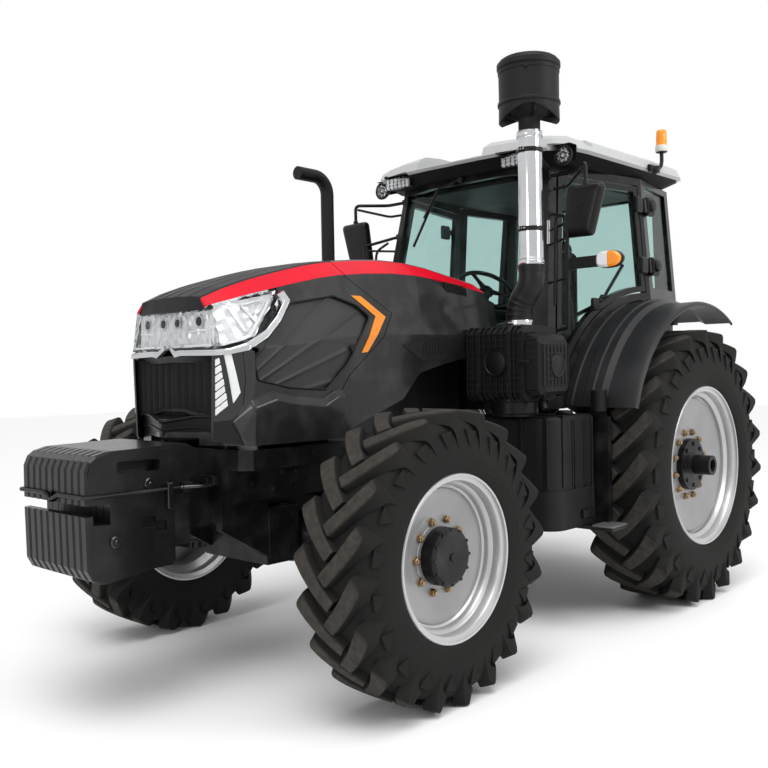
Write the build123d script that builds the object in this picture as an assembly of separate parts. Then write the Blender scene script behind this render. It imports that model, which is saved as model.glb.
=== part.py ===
from build123d import *
from math import atan2, cos, degrees, pi, radians, sin, sqrt
import os

os.makedirs("parts", exist_ok=True)

# Four-wheel-drive farm tractor, millimetres.
# +X points forward, +Y to the tractor's left, +Z up.  The origin lies on the ground,
# midway along the tractor and on its centre plane.

# ---------------------------------------------------------------- driving dimensions
WHEELBASE = 2522.0
FRONT_REACH = 1328.0          # front axle to the nose of the front weights
REAR_REACH = 1150.0           # rear axle to the ends of the lower links
LENGTH = WHEELBASE + FRONT_REACH + REAR_REACH
REAR_X = REAR_REACH - LENGTH / 2
FRONT_X = REAR_X + WHEELBASE

FRONT_TYRE_R = 673.0          # over the lugs' tips
FRONT_TYRE_HALF = 189.0       # half of the section width
FRONT_TYRE_Y = 1014.0         # centre plane of the tyre
FRONT_RIM_R = 381.0           # rim flange
FRONT_RIM_HALF = 175.0
FRONT_LUG_H = 40.0
FRONT_LUGS = 20               # on each side of the tyre
FRONT_DISC_Y = 46.0           # wheel disc, outward of the tyre's centre plane

REAR_TYRE_R = 877.5
REAR_TYRE_HALF = 233.0
REAR_TYRE_Y = 1040.0
REAR_RIM_R = 508.0
REAR_RIM_HALF = 214.0
REAR_LUG_H = 46.0
REAR_LUGS = 22
REAR_DISC_Y = 70.0
RIM_FLANGE_H = 25.0
RIM_FLANGE_T = 12.0
RIM_PLATE = 10.0
DISC_PLATE = 14.0

KINGPIN_Y = 800.0
KINGPIN_R = 22.0
SPINDLE_R = 60.0
AXLE_SHAFT_R = 60.0

CAB_FLOOR_Z = 1275.0          # underside of the cab

HOOD_LOW = 1190.0             # lower edge of the closed hood
NOSE_OVER_AXLE = 693.0        # from the front axle to the hood's nose
HOOD_NOSE = WHEELBASE + NOSE_OVER_AXLE    # forward of the rear axle
HOOD_BACK = 1250.0            # the hood's rear edge, forward of the rear axle

SEAT_GAP = 0.3                # between pieces that seat on each other
RUN_GAP = 0.05                # radial, between a pin and its bore
MOVE_GAP = 8.0                # between pieces that move past each other


def rx(forward):
    """X of a place given forward of the rear axle."""
    return REAR_X + forward


def fx(forward):
    """X of a place given forward of the front axle."""
    return FRONT_X + forward


# ---------------------------------------------------------------- shape helpers
def block(x0, x1, y0, y1, z0, z1):
    """A box between two corners."""
    return Pos((x0 + x1) / 2, (y0 + y1) / 2, (z0 + z1) / 2) * Box(abs(x1 - x0), abs(y1 - y0), abs(z1 - z0))


def rod_y(x, z, r, y0, y1):
    """A cylinder along Y."""
    return Pos(x, (y0 + y1) / 2, z) * Rot(90, 0, 0) * Cylinder(r, abs(y1 - y0))


def rod_x(y, z, r, x0, x1):
    """A cylinder along X."""
    return Pos((x0 + x1) / 2, y, z) * Rot(0, 90, 0) * Cylinder(r, abs(x1 - x0))


def rod_z(x, y, r, z0, z1):
    """A cylinder along Z."""
    return Pos(x, y, (z0 + z1) / 2) * Cylinder(r, abs(z1 - z0))


def prism_xz(points, y0, y1):
    """A side outline (x, z) carried from y0 to y1."""
    face = Face(Wire.make_polygon([Vector(x, y0, z) for x, z in points]))
    return Solid.extrude(face, Vector(0, y1 - y0, 0))


def prism_xy(points, z0, z1):
    """A plan outline (x, y) carried from z0 to z1."""
    face = Face(Wire.make_polygon([Vector(x, y, z0) for x, y in points]))
    return Solid.extrude(face, Vector(0, 0, z1 - z0))


def prism_yz(points, x0, x1):
    """A front outline (y, z) carried from x0 to x1."""
    face = Face(Wire.make_polygon([Vector(x0, y, z) for y, z in points]))
    return Solid.extrude(face, Vector(x1 - x0, 0, 0))


def skin(sections):
    """A ruled loft through outlines given as lists of (x, y, z)."""
    wires = [Wire.make_polygon([Vector(*p) for p in outline]) for outline in sections]
    return Solid.make_loft(wires, True)


def tube(points, r, bend=60.0):
    """A round bar along straight runs that arcs of one radius join."""
    path = FilletPolyline(*points, radius=bend) if len(points) > 2 else Line(*points)
    start = Plane(origin=path @ 0, z_dir=path % 0)
    return sweep(start * Circle(r), path=path)


def ring(profile, x, z, y_mid, side=1):
    """A turned piece about the Y line through (x, z), from (radius, outward) points."""
    face = Face(Wire.make_polygon([Vector(r, side * y, 0) for r, y in profile]))
    return Pos(x, side * y_mid, z) * Solid.revolve(face, 360, Axis((0, 0, 0), (0, 1, 0)))


def nx(back):
    """X of a place given backwards from the hood's nose."""
    return rx(HOOD_NOSE - back)


def aft(points):
    """A side outline given backwards from the hood's nose, as places forward of the rear axle."""
    return [(HOOD_NOSE - back, z) for back, z in points]


def flip(solid):
    """The mirror image across the centre plane."""
    return mirror(solid, about=Plane.XZ)


def both(solid):
    """A solid and its mirror image across the centre plane."""
    return [solid, flip(solid)]


def save(name, *solids):
    """Writes one node, whose solids don't touch each other."""
    parts = []
    for s in solids:
        parts.extend(s.solids())
    shape = parts[0] if len(parts) == 1 else Compound(children=parts)
    export_step(shape, f"parts/{name}.step")


# ---------------------------------------------------------------- wheels
def lug(side, start, pitch, tyre_r, half, height):
    """One tread lug, from the shoulder to the middle of the tread, leading towards the middle."""
    #           outward  advance  tip drop  foot depth  half width along the tread
    stations = ((0.97, 0.00, 0.030, 1.45, 27.0),
                (0.55, 0.42, 0.006, 0.30, 25.0),
                (0.00, 0.92, 0.000, 0.20, 30.0))
    draft = 14.0
    nose_overlap = 8.0
    outlines = []
    for outward, advance, drop, foot, width in stations:
        y = side * (outward * half - nose_overlap)
        tip = tyre_r * (1 - drop)
        base = tyre_r - height * (1 + foot)
        mid = start + advance * pitch
        corners = ((base, width + draft), (tip, width), (tip, -width), (base, -width - draft))
        outlines.append([(r * sin(mid + w / tyre_r), y, r * cos(mid + w / tyre_r)) for r, w in corners])
    return skin(outlines)


def tyre(x, y_mid, tyre_r, half, rim_r, rim_half, height, count):
    """A drive tyre: a hollow carcass with two staggered rows of lugs fused to it."""
    crown = tyre_r - height
    depth = crown - rim_r
    bead_r = rim_r - RIM_FLANGE_H + SEAT_GAP
    bead_y = rim_half - RIM_FLANGE_T - 4
    wall = 26
    outer = [(bead_r, bead_y), (rim_r + 4, bead_y), (rim_r + 0.42 * depth, half),
             (rim_r + 0.80 * depth, half * 0.97), (crown - 8, half * 0.74)]
    inner = [(crown - wall, half * 0.70), (rim_r + 0.5 * depth, half - wall), (bead_r, bead_y - wall)]
    loop = outer + [(crown, 0)] + [(r, -y) for r, y in reversed(outer)]
    loop += [(r, -y) for r, y in reversed(inner)] + inner
    carcass = ring(loop, 0, 0, 0)
    pitch = 2 * pi / count
    lugs = [lug(side, (i + (side < 0) / 2) * pitch, pitch, tyre_r, half, height)
            for i in range(count) for side in (1, -1)]
    return Pos(x, y_mid, tyre_r) * carcass.fuse(*lugs)


def rim(x, z, y_mid, rim_r, half, well, disc_y, dish, hole_r):
    """A steel rim: flanges, bead seats and drop centre, with the dished disc welded inside."""
    seat = rim_r - RIM_FLANGE_H
    drop = rim_r - well
    outer = [(rim_r, half), (rim_r, half - RIM_FLANGE_T), (seat, half - RIM_FLANGE_T - 2), (seat, half - 70),
             (drop, half - 95), (drop, -half + 110), (seat, -half + 80), (seat, -half + RIM_FLANGE_T + 2),
             (rim_r, -half + RIM_FLANGE_T), (rim_r, -half)]
    inner = [(r - RIM_PLATE, y) for r, y in reversed(outer[2:-2])]
    inner = [(rim_r - RIM_PLATE, -half)] + inner + [(rim_r - RIM_PLATE, half)]
    barrel = ring(outer + inner, x, z, y_mid)
    edge = drop - RIM_PLATE / 2
    disc = ring([(edge, disc_y + dish + DISC_PLATE), (edge, disc_y + dish), (hole_r + 90, disc_y),
                 (hole_r, disc_y), (hole_r, disc_y + DISC_PLATE), (hole_r + 94, disc_y + DISC_PLATE)], x, z, y_mid)
    return barrel.fuse(disc)


FRONT_CAP_R = 134.0
front_tyre = tyre(FRONT_X, FRONT_TYRE_Y, FRONT_TYRE_R, FRONT_TYRE_HALF, FRONT_RIM_R, FRONT_RIM_HALF,
                  FRONT_LUG_H, FRONT_LUGS)
front_rim = rim(FRONT_X, FRONT_TYRE_R, FRONT_TYRE_Y, FRONT_RIM_R, FRONT_RIM_HALF, 62, FRONT_DISC_Y, 30,
                FRONT_CAP_R + SEAT_GAP)
HUB_BACK = -60.0
HUB_SOCKET = 20.0
front_hub = ring([(0, 140), (118, 140), (FRONT_CAP_R, 126), (FRONT_CAP_R, FRONT_DISC_Y - SEAT_GAP),
                  (205, FRONT_DISC_Y - SEAT_GAP), (205, FRONT_DISC_Y - 22), (150, FRONT_DISC_Y - 30),
                  (150, HUB_BACK), (SPINDLE_R + RUN_GAP, HUB_BACK), (SPINDLE_R + RUN_GAP, HUB_SOCKET),
                  (0, HUB_SOCKET)], FRONT_X, FRONT_TYRE_R, FRONT_TYRE_Y)

REAR_HUB_R = 100.0
rear_tyre = tyre(REAR_X, REAR_TYRE_Y, REAR_TYRE_R, REAR_TYRE_HALF, REAR_RIM_R, REAR_RIM_HALF, REAR_LUG_H, REAR_LUGS)
rear_rim = rim(REAR_X, REAR_TYRE_R, REAR_TYRE_Y, REAR_RIM_R, REAR_RIM_HALF, 68, REAR_DISC_Y, 40,
               REAR_HUB_R + SEAT_GAP)
TRUMPET_END = 700.0
SHAFT_IN = 60.0               # the axle shaft's length inside the trumpet
trumpet_out = TRUMPET_END - REAR_TYRE_Y
disc_face = REAR_DISC_Y + DISC_PLATE + SEAT_GAP
rear_hub = ring([(0, trumpet_out - SHAFT_IN), (AXLE_SHAFT_R, trumpet_out - SHAFT_IN),
                 (AXLE_SHAFT_R, trumpet_out + MOVE_GAP), (REAR_HUB_R, trumpet_out + MOVE_GAP), (REAR_HUB_R, disc_face),
                 (168, disc_face), (168, disc_face + 36), (90, disc_face + 42), (63, disc_face + 50),
                 (63, 250), (40, 250), (40, 205), (0, 205)], REAR_X, REAR_TYRE_R, REAR_TYRE_Y)

for side, turn in (("left", lambda s: s), ("right", flip)):
    save(f"front_tyre_{side}", turn(front_tyre))
    save(f"front_rim_{side}", turn(front_rim))
    save(f"front_hub_{side}", turn(front_hub))
    save(f"rear_tyre_{side}", turn(rear_tyre))
    save(f"rear_rim_{side}", turn(rear_rim))
    save(f"rear_hub_{side}", turn(rear_hub))

# ---------------------------------------------------------------- front axle and steering
AXLE_Z = FRONT_TYRE_R
BOSS_R = 62.0
BOSS_HALF = 125.0
LUG_GAP = 5.0
LUG_T = 45.0
PIN_DEPTH = 65.0
TRUNNION_R = 50.0
TRUNNION_IN, TRUNNION_OUT = 150.0, 225.0
RAM_X, RAM_Z = -285.0, -95.0  # steering ram, from the axle's centre
RAM_ROD_R = 20.0
RAM_BARREL_R = 42.0
RAM_BARREL_HALF = 190.0
ARM_INSET = 110.0             # steering arm's eye, inward of the kingpin
TIE_END = KINGPIN_Y - ARM_INSET

beam = rod_y(FRONT_X, AXLE_Z, 58, -KINGPIN_Y, KINGPIN_Y)
beam += ring([(0, -330), (70, -330), (150, -90), (150, 90), (70, 330), (0, 330)], FRONT_X, AXLE_Z, 0)
beam += rod_x(0, AXLE_Z, 80, fx(-TRUNNION_IN), fx(TRUNNION_IN))
beam += rod_x(0, AXLE_Z, TRUNNION_R, fx(-TRUNNION_OUT), fx(TRUNNION_OUT))
for y in (KINGPIN_Y, -KINGPIN_Y):
    beam += rod_z(FRONT_X, y, BOSS_R, AXLE_Z - BOSS_HALF, AXLE_Z + BOSS_HALF)
    for end in (1, -1):
        face_z = AXLE_Z + end * BOSS_HALF
        beam -= rod_z(FRONT_X, y, KINGPIN_R + RUN_GAP, face_z, face_z - end * PIN_DEPTH)
for y in (-150, 150):
    beam += block(fx(RAM_X), fx(0), y - 18, y + 18, AXLE_Z + RAM_Z - 20, AXLE_Z + RAM_Z + 20)
beam += rod_y(fx(RAM_X), AXLE_Z + RAM_Z, RAM_BARREL_R, -RAM_BARREL_HALF, RAM_BARREL_HALF)
beam -= rod_y(fx(RAM_X), AXLE_Z + RAM_Z, RAM_ROD_R + RUN_GAP, -RAM_BARREL_HALF - 1, RAM_BARREL_HALF + 1)
save("front_axle_beam", beam)

steering_rod = rod_y(fx(RAM_X), AXLE_Z + RAM_Z, RAM_ROD_R, -540, 540)
steering_rod += rod_y(fx(RAM_X), AXLE_Z + RAM_Z, 14, -TIE_END, TIE_END)
for y in (TIE_END, -TIE_END):
    steering_rod += rod_z(fx(RAM_X), y, 26, AXLE_Z + RAM_Z - 22, AXLE_Z + RAM_Z + 22)
save("steering_rod", steering_rod)

knuckle = rod_y(FRONT_X, AXLE_Z, SPINDLE_R, KINGPIN_Y + 80, FRONT_TYRE_Y + HUB_SOCKET - 2)
knuckle += rod_y(FRONT_X, AXLE_Z, 130, KINGPIN_Y + 75, FRONT_TYRE_Y + HUB_BACK - MOVE_GAP)
lug_top = BOSS_HALF + LUG_GAP + LUG_T
knuckle += block(fx(-95), fx(95), KINGPIN_Y + 75, KINGPIN_Y + 118, AXLE_Z - lug_top, AXLE_Z + lug_top)
for end in (1, -1):
    near, far = AXLE_Z + end * (BOSS_HALF + LUG_GAP), AXLE_Z + end * lug_top
    knuckle += rod_z(FRONT_X, KINGPIN_Y, 70, near, far)
    knuckle += block(fx(-70), fx(70), KINGPIN_Y, KINGPIN_Y + 90, near, far)
    knuckle += rod_z(FRONT_X, KINGPIN_Y, KINGPIN_R, near, near - end * (PIN_DEPTH + LUG_GAP - 2))
arm_z = AXLE_Z - lug_top
eye_y = KINGPIN_Y - ARM_INSET
knuckle += prism_xy([(fx(60), KINGPIN_Y - 60), (fx(60), KINGPIN_Y + 90), (fx(-60), KINGPIN_Y + 90),
                     (fx(RAM_X - 28), eye_y + 28), (fx(RAM_X - 28), eye_y - 28),
                     (fx(RAM_X + 28), eye_y - 28), (fx(-40), KINGPIN_Y - 60)], arm_z, arm_z + 35)
for side, turn in (("left", lambda s: s), ("right", flip)):
    save(f"knuckle_{side}", turn(knuckle))

# ---------------------------------------------------------------- engine, gearbox and frame
ENGINE_HALF = 290.0
ENGINE_BACK, ENGINE_FRONT = rx(1350), fx(-60)
ENGINE_FLOOR, ENGINE_TOP = 870.0, 1650.0
engine = block(ENGINE_BACK, ENGINE_FRONT, -ENGINE_HALF, ENGINE_HALF, ENGINE_FLOOR, ENGINE_TOP)
save("engine_block", engine)

GEARBOX_HALF = 280.0
GEARBOX_TOP = 1110.0
WAIST_FLOOR = 620.0           # underside of the narrow middle
ROCK_X, ROCK_Z, ROCK_R = rx(-420), 1020.0, 30.0      # the rear lift's rock shaft
LINK_X, LINK_Z, LINK_PIN_R = rx(-250), 600.0, 18.0   # the lower links' pivot
LINK_Y0, LINK_Y1 = 380.0, 420.0
gearbox_front = ENGINE_BACK - SEAT_GAP
#            x              half   floor  top
housing = ((gearbox_front, 270, 700, 1130), (rx(1150), 190, WAIST_FLOOR, 1060), (rx(420), 200, WAIST_FLOOR, 1060),
           (rx(250), GEARBOX_HALF, 580, GEARBOX_TOP), (rx(-330), GEARBOX_HALF, 580, GEARBOX_TOP))
gearbox = skin([[(x, -h, z0), (x, h, z0), (x, h, z1), (x, -h, z1)] for x, h, z0, z1 in housing])
gearbox += block(rx(-320), rx(-480), -230, 230, 900, GEARBOX_TOP - 20)
gearbox -= rod_y(ROCK_X, ROCK_Z, ROCK_R + RUN_GAP, -240, 240)
gearbox += rod_y(REAR_X, REAR_TYRE_R, 118, -TRUMPET_END, TRUMPET_END)
gearbox += rod_y(LINK_X, LINK_Z, LINK_PIN_R, -LINK_Y1 - 30, LINK_Y1 + 30)
for y in (1, -1):
    gearbox += rod_y(REAR_X, REAR_TYRE_R, 165, y * 280, y * 380)
    gearbox += rod_y(REAR_X, REAR_TYRE_R, 140, y * (TRUMPET_END - 60), y * TRUMPET_END)
    gearbox -= rod_y(REAR_X, REAR_TYRE_R, AXLE_SHAFT_R + RUN_GAP,
                     y * (TRUMPET_END - SHAFT_IN - 4), y * (TRUMPET_END + 1))
PTO_R = 22.2                  # 1 3/4 inch shaft
PTO_Z = 700.0
PTO_END = rx(-430)
gearbox += rod_x(0, PTO_Z, 60, rx(-320), rx(-345))
gearbox += rod_x(0, PTO_Z, PTO_R, rx(-340), PTO_END)
for x in (rx(190), rx(-290)):
    for y in (-200, 200):
        gearbox += rod_z(x, y, 60, GEARBOX_TOP - 10, CAB_FLOOR_Z - SEAT_GAP)
save("gearbox", gearbox)

RAIL_Y0, RAIL_Y1 = 165.0, 205.0
FRAME_FRONT = fx(NOSE_OVER_AXLE - 93)
BOX_HALF = 430.0
BOX_Z0, BOX_Z1 = 1072.0, 1168.0
LEDGE_HALF, LEDGE_Z0 = 300.0, 911.0           # the narrower frame under the platform
CHEEK_Y0, CHEEK_Y1 = 205.0, 250.0             # the boxes beside the front trunnion
CHEEK_Z0, CHEEK_Z1 = 575.0, 860.0
CHEEK_BACK, CHEEK_FRONT = 119.0, 328.0
rail = block(fx(-TRUNNION_OUT - 5), FRAME_FRONT, RAIL_Y0, RAIL_Y1, 812, ENGINE_FLOOR - SEAT_GAP)
rail += block(ENGINE_FRONT + SEAT_GAP, FRAME_FRONT, RAIL_Y0, RAIL_Y1, 850, BOX_Z0 + 5)
rail += block(fx(CHEEK_BACK), fx(CHEEK_FRONT), CHEEK_Y0 - 2, CHEEK_Y1, CHEEK_Z0, CHEEK_Z1)
frame = rail + flip(rail)
frame += block(ENGINE_FRONT + SEAT_GAP, ENGINE_FRONT + 40, -RAIL_Y1, RAIL_Y1, 850, BOX_Z0)
ledge = block(ENGINE_FRONT + SEAT_GAP, FRAME_FRONT, -LEDGE_HALF, LEDGE_HALF, LEDGE_Z0, BOX_Z0 + 5)
frame += ledge - block(ENGINE_FRONT + 40, FRAME_FRONT - 60, -RAIL_Y0, RAIL_Y0, LEDGE_Z0 - 1, BOX_Z0)
plate_top = ENGINE_FLOOR - SEAT_GAP
for x0, x1 in ((fx(-TRUNNION_OUT - 5), fx(-TRUNNION_IN - 5)), (fx(TRUNNION_IN + 5), fx(TRUNNION_OUT + 5))):
    frame += prism_yz([(-240, plate_top), (-240, plate_top - 50), (-90, AXLE_Z - 80), (90, AXLE_Z - 80),
                       (240, plate_top - 50), (240, plate_top)], x0, x1)
frame += block(fx(TRUNNION_OUT), fx(CHEEK_FRONT), -CHEEK_Y1, CHEEK_Y1, CHEEK_Z0, CHEEK_Z1)
frame += block(fx(TRUNNION_OUT), FRAME_FRONT, -RAIL_Y0 - 2, RAIL_Y0 + 2, 812, LEDGE_Z0 + 5)
gusset = prism_xz([(fx(CHEEK_FRONT - 10), CHEEK_Z0 + 40), (FRAME_FRONT, 780), (FRAME_FRONT, LEDGE_Z0 + 2),
                   (fx(CHEEK_FRONT - 10), LEDGE_Z0 + 2)], RAIL_Y1 - 2, CHEEK_Y1)
frame += gusset + flip(gusset)
frame -= rod_x(0, AXLE_Z, TRUNNION_R + SEAT_GAP, fx(-TRUNNION_OUT - 50), fx(TRUNNION_OUT + 40))
frame += prism_xy([(ENGINE_FRONT + SEAT_GAP, -BOX_HALF), (FRAME_FRONT - 50, -BOX_HALF), (FRAME_FRONT, -BOX_HALF + 50),
                   (FRAME_FRONT, BOX_HALF - 50), (FRAME_FRONT - 50, BOX_HALF),
                   (ENGINE_FRONT + SEAT_GAP, BOX_HALF)], BOX_Z0, BOX_Z1)
STOP_X, STOP_Y = nx(125), 250.0
for y in (STOP_Y, -STOP_Y):
    frame += rod_z(STOP_X, y, 15, BOX_Z1 - 5, HOOD_LOW - SEAT_GAP)
save("front_frame", frame)

# ---------------------------------------------------------------- front weights on their carrier
PLATES = 10
PLATE_PITCH = 55.4
PLATE_T = 51.0
PLATE_EDGE = 9.0              # cut along the plates' front edges
GUARD_R = 9.0                 # the round bar that holds the plates together
PLATE_FRONT = 2 * GUARD_R + SEAT_GAP      # from the nose to the plates' faces
PLATE_BACK = 590.0            # from the nose to the plates' rear faces
HOOK_X = 450.0                # from the nose to the hook's inner face
GUARD_Z = 1019.0
NOSE_X = fx(FRONT_REACH)


def plate_outline(points):
    """A side outline given backwards from the nose of the weights."""
    return [(NOSE_X - back, z) for back, z in points]


PLATE = [(PLATE_FRONT, 985), (PLATE_FRONT, 1128), (36, 1168), (66, 1190), (125, 1205), (515, 1213), (560, 1192),
         (PLATE_BACK, 1158), (PLATE_BACK, 1080), (HOOK_X, 1080), (HOOK_X, 700), (432, 678), (350, 676), (92, 647),
         (48, 668), (24, 712), (PLATE_FRONT, 938), (50, 940), (50, 900), (130, 896), (130, 982)]
CROWN = [(PLATE_FRONT + PLATE_EDGE, 1104), (440, 1114), (472, 1132), (505, 1200), (125, 1192), (66, 1180), (40, 1160)]
PLATE_SLOT = [(172, 1103), (366, 1106), (374, 1116), (374, 1148), (364, 1155), (172, 1158), (162, 1148), (162, 1112)]
CROSS = [(284, 905), (352, 905), (352, 882), (409, 880), (409, 836), (346, 834), (346, 857), (284, 857)]
PLATES_HALF = (PLATES - 1) / 2 * PLATE_PITCH + PLATE_T / 2
plates = []
for i in range(PLATES):
    y = (i - (PLATES - 1) / 2) * PLATE_PITCH
    plate = prism_xz(plate_outline(PLATE), y - PLATE_T / 2, y + PLATE_T / 2)
    rims = [e for e in plate.edges() if e.center().X > NOSE_X - 100 and abs(abs(e.center().Y - y) - PLATE_T / 2) < 1]
    plate = chamfer([e for e in rims if not 890 < e.center().Z < 990], PLATE_EDGE)
    if i in (0, PLATES - 1):
        out = 1 if y > 0 else -1
        face = sorted((out * PLATES_HALF, out * (PLATES_HALF + 3)))
        plate += prism_xz(plate_outline(CROWN), *face)
        plate -= prism_xz(plate_outline(PLATE_SLOT), y - PLATE_T, y + PLATE_T)
        plate -= prism_xz(plate_outline(CROSS), *sorted((out * (PLATES_HALF - 16), out * (PLATES_HALF + 9))))
    plates.append(plate)
save("front_weights", *plates)

GUARD_Y = PLATES_HALF + GUARD_R + 3 + SEAT_GAP
CARRIER_TOP = 1080.0 - SEAT_GAP
carrier = block(FRAME_FRONT + SEAT_GAP, NOSE_X - HOOK_X - SEAT_GAP, -150, 150, 800, 1000)
carrier += block(NOSE_X - PLATE_BACK + 60, NOSE_X - HOOK_X - SEAT_GAP, -PLATES_HALF, PLATES_HALF, 760, CARRIER_TOP)
guard = tube([(NOSE_X - PLATE_BACK + 90, GUARD_Y, GUARD_Z), (NOSE_X - GUARD_R, GUARD_Y, GUARD_Z),
              (NOSE_X - GUARD_R, 60, GUARD_Z), (NOSE_X - GUARD_R, 0, GUARD_Z - 22), (NOSE_X - GUARD_R, -60, GUARD_Z),
              (NOSE_X - GUARD_R, -GUARD_Y, GUARD_Z), (NOSE_X - PLATE_BACK + 90, -GUARD_Y, GUARD_Z)], GUARD_R, 20)
ears = block(NOSE_X - PLATE_BACK + 60, NOSE_X - PLATE_BACK + 110, PLATES_HALF - 20, GUARD_Y + 14, GUARD_Z - 22, GUARD_Z + 22)
carrier += guard + ears + flip(ears)
save("weight_carrier", carrier)

# ---------------------------------------------------------------- tanks and steps
TANK_FRONT, TANK_BACK = rx(1400), rx(950)
TANK_IN, TANK_OUT = 420.0, 985.0
TANK_Z0, TANK_Z1 = 605.0, 1250.0
TANK_CORNER = 115.0           # the front corner seen from above
TANK_REAR_CORNER = 30.0
GUARD_T = 6.0                 # the band round the tank's foot
GUARD_TOP = 830.0
STEP_BACK, STEP_FRONT = rx(888), rx(1080)
STEP_GAP = 14.0


def tank_form(grow, z0, z1):
    """The tank's outer form between two heights, grown outwards, with its upright outer corners rounded."""
    form = block(TANK_BACK - grow, TANK_FRONT + grow, TANK_IN, TANK_OUT + grow, z0, z1)
    back, front = (e for e in form.edges().filter_by(Axis.Z).sort_by(Axis.X) if e.center().Y > TANK_IN + 1)
    form = fillet(front, TANK_CORNER + grow)
    back = [e for e in form.edges().filter_by(Axis.Z).sort_by(Axis.X) if e.center().Y > TANK_OUT - 1][0]
    return fillet(back, TANK_REAR_CORNER + grow)


tank = tank_form(0, TANK_Z0, TANK_Z1)
tank = fillet([e for e in tank.edges().group_by(Axis.Z)[-1] if e.center().Y > TANK_IN + 1], 26)
for x in (TANK_BACK + 120, TANK_BACK + 235):
    tank -= block(x - 7, x + 7, TANK_OUT - 8, TANK_OUT + 10, GUARD_TOP, TANK_Z1 - 40)
tank += tank_form(GUARD_T, TANK_Z0 + 12, GUARD_TOP)
save("fuel_tanks", *both(tank))

STEP_Z = 585.0
step_top = TANK_Z0 - SEAT_GAP
step = block(STEP_BACK, STEP_FRONT, 700, 1160, STEP_Z, step_top)
step += block(STEP_BACK, STEP_FRONT, 90, 705, STEP_Z, step_top)
step += block(STEP_BACK, STEP_FRONT, 90, 180, STEP_Z, WAIST_FLOOR - SEAT_GAP)
step += block(STEP_BACK, TANK_BACK - GUARD_T - STEP_GAP, TANK_OUT - 45, TANK_OUT + 73, STEP_Z, TANK_Z1 - 20)
save("steps", *both(step))

# ---------------------------------------------------------------- hood
HOOD_T = 12.0
MITRE_GAP = 0.5
#             x   top edge      shoulder      belt         lower edge
#              forward           top y, z   shoulder   belt       foot
HOOD_TABLE = ((HOOD_BACK, 335, 2040, 415, 1985, 465, 1720, 460, 1190),
              (HOOD_NOSE - 1315, 325, 2125, 425, 2048, 480, 1720, 465, 1190),
              (HOOD_NOSE - 735, 305, 2088, 405, 2015, 478, 1700, 465, 1190),
              (HOOD_NOSE - 315, 280, 1990, 360, 1925, 470, 1650, 455, 1190),
              (HOOD_NOSE - 115, 262, 1925, 325, 1872, 462, 1640, 445, 1190),
              (HOOD_NOSE, 245, 1875, 288, 1838, 335, 1640, 315, 1215))
HOOD_PARTS = 3                # sections in each of the table's curved spans


def slope(table, i, k):
    """How fast a column of the table changes along the hood at one of its rows."""
    a, b = table[max(i - 1, 0)], table[min(i + 1, len(table) - 1)]
    return (b[k] - a[k]) / (b[0] - a[0])


def eased(table):
    """The table with rows between its own, on cubic curves that keep each column's slope; its last span is straight."""
    curved, rows = table[:-1], []
    for i in range(len(curved) - 1):
        a, b = curved[i], curved[i + 1]
        span = b[0] - a[0]
        for part in range(HOOD_PARTS):
            t = part / HOOD_PARTS
            row = [a[0] + t * span]
            for k in range(1, len(a)):
                row.append((2 * t ** 3 - 3 * t ** 2 + 1) * a[k] + (t ** 3 - 2 * t ** 2 + t) * span * slope(curved, i, k)
                           + (3 * t ** 2 - 2 * t ** 3) * b[k] + (t ** 3 - t ** 2) * span * slope(curved, i + 1, k))
            rows.append(tuple(row))
    return rows + [table[-2], table[-1]]


HOOD_ROWS = eased(HOOD_TABLE)
SEAM_X = HOOD_NOSE - 775
SEAM_GAP = 6.0


def hood_row(x):
    """The hood's section sizes at a place forward of the rear axle, straight between the rows."""
    for a, b in zip(HOOD_ROWS, HOOD_ROWS[1:]):
        if x <= b[0]:
            t = (x - a[0]) / (b[0] - a[0])
            return [p + t * (q - p) for p, q in zip(a[1:], b[1:])]
    return HOOD_ROWS[-1][1:]


def hood_stations(x0, x1):
    """The two end sections and the rows' own sections between them."""
    return [x0] + [row[0] for row in HOOD_ROWS if x0 + 1 < row[0] < x1 - 1] + [x1]


def side_skin(x0, x1, out, depth):
    """The left side of the hood from the shoulder down, from `out` outside its face to `depth` inside."""
    outlines = []
    for x in hood_stations(x0, x1):
        _, _, ys, zs, yb, zb, yl, zl = hood_row(x)
        top = zs + min(out, 0) - MITRE_GAP
        outlines.append([(rx(x), ys + out, top), (rx(x), yb + out, zb), (rx(x), yl + out, zl),
                         (rx(x), yl - depth, zl), (rx(x), yb - depth, zb), (rx(x), ys - depth, zs - depth - MITRE_GAP)])
    return skin(outlines)


def stripe_skin(x0, x1):
    """The chamfered band between the hood's top and its left side."""
    outlines = []
    for x in hood_stations(x0, x1):
        yt, zt, ys, zs = hood_row(x)[:4]
        outlines.append([(rx(x), yt, zt), (rx(x), ys, zs), (rx(x), ys - HOOD_T, zs - HOOD_T), (rx(x), yt, zt - HOOD_T)])
    return skin(outlines)


RIBS = 5
RIB_H = 7.0


def top_skin(x0, x1):
    """The hood's top between the stripes, in lengthwise bands with a groove between them."""
    outlines = []
    for x in hood_stations(x0, x1):
        yt, zt = hood_row(x)[:2]
        yt -= SEAT_GAP
        band = 2 * yt / RIBS
        upper = []
        for i in range(RIBS):
            y0, y1 = -yt + i * band, -yt + (i + 1) * band
            crown = [12 * (1 - (y / yt) ** 2) for y in (y0, y1)]
            upper += [(rx(x), y0 + 6, zt + crown[0] + RIB_H), (rx(x), y1 - 14, zt + crown[1] + RIB_H)]
            if i < RIBS - 1:
                upper += [(rx(x), y1 - 8, zt + crown[1]), (rx(x), y1, zt + crown[1])]
        outlines.append([(rx(x), -yt, zt)] + upper + [(rx(x), yt, zt), (rx(x), yt, zt - HOOD_T), (rx(x), -yt, zt - HOOD_T)])
    return skin(outlines)


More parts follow.
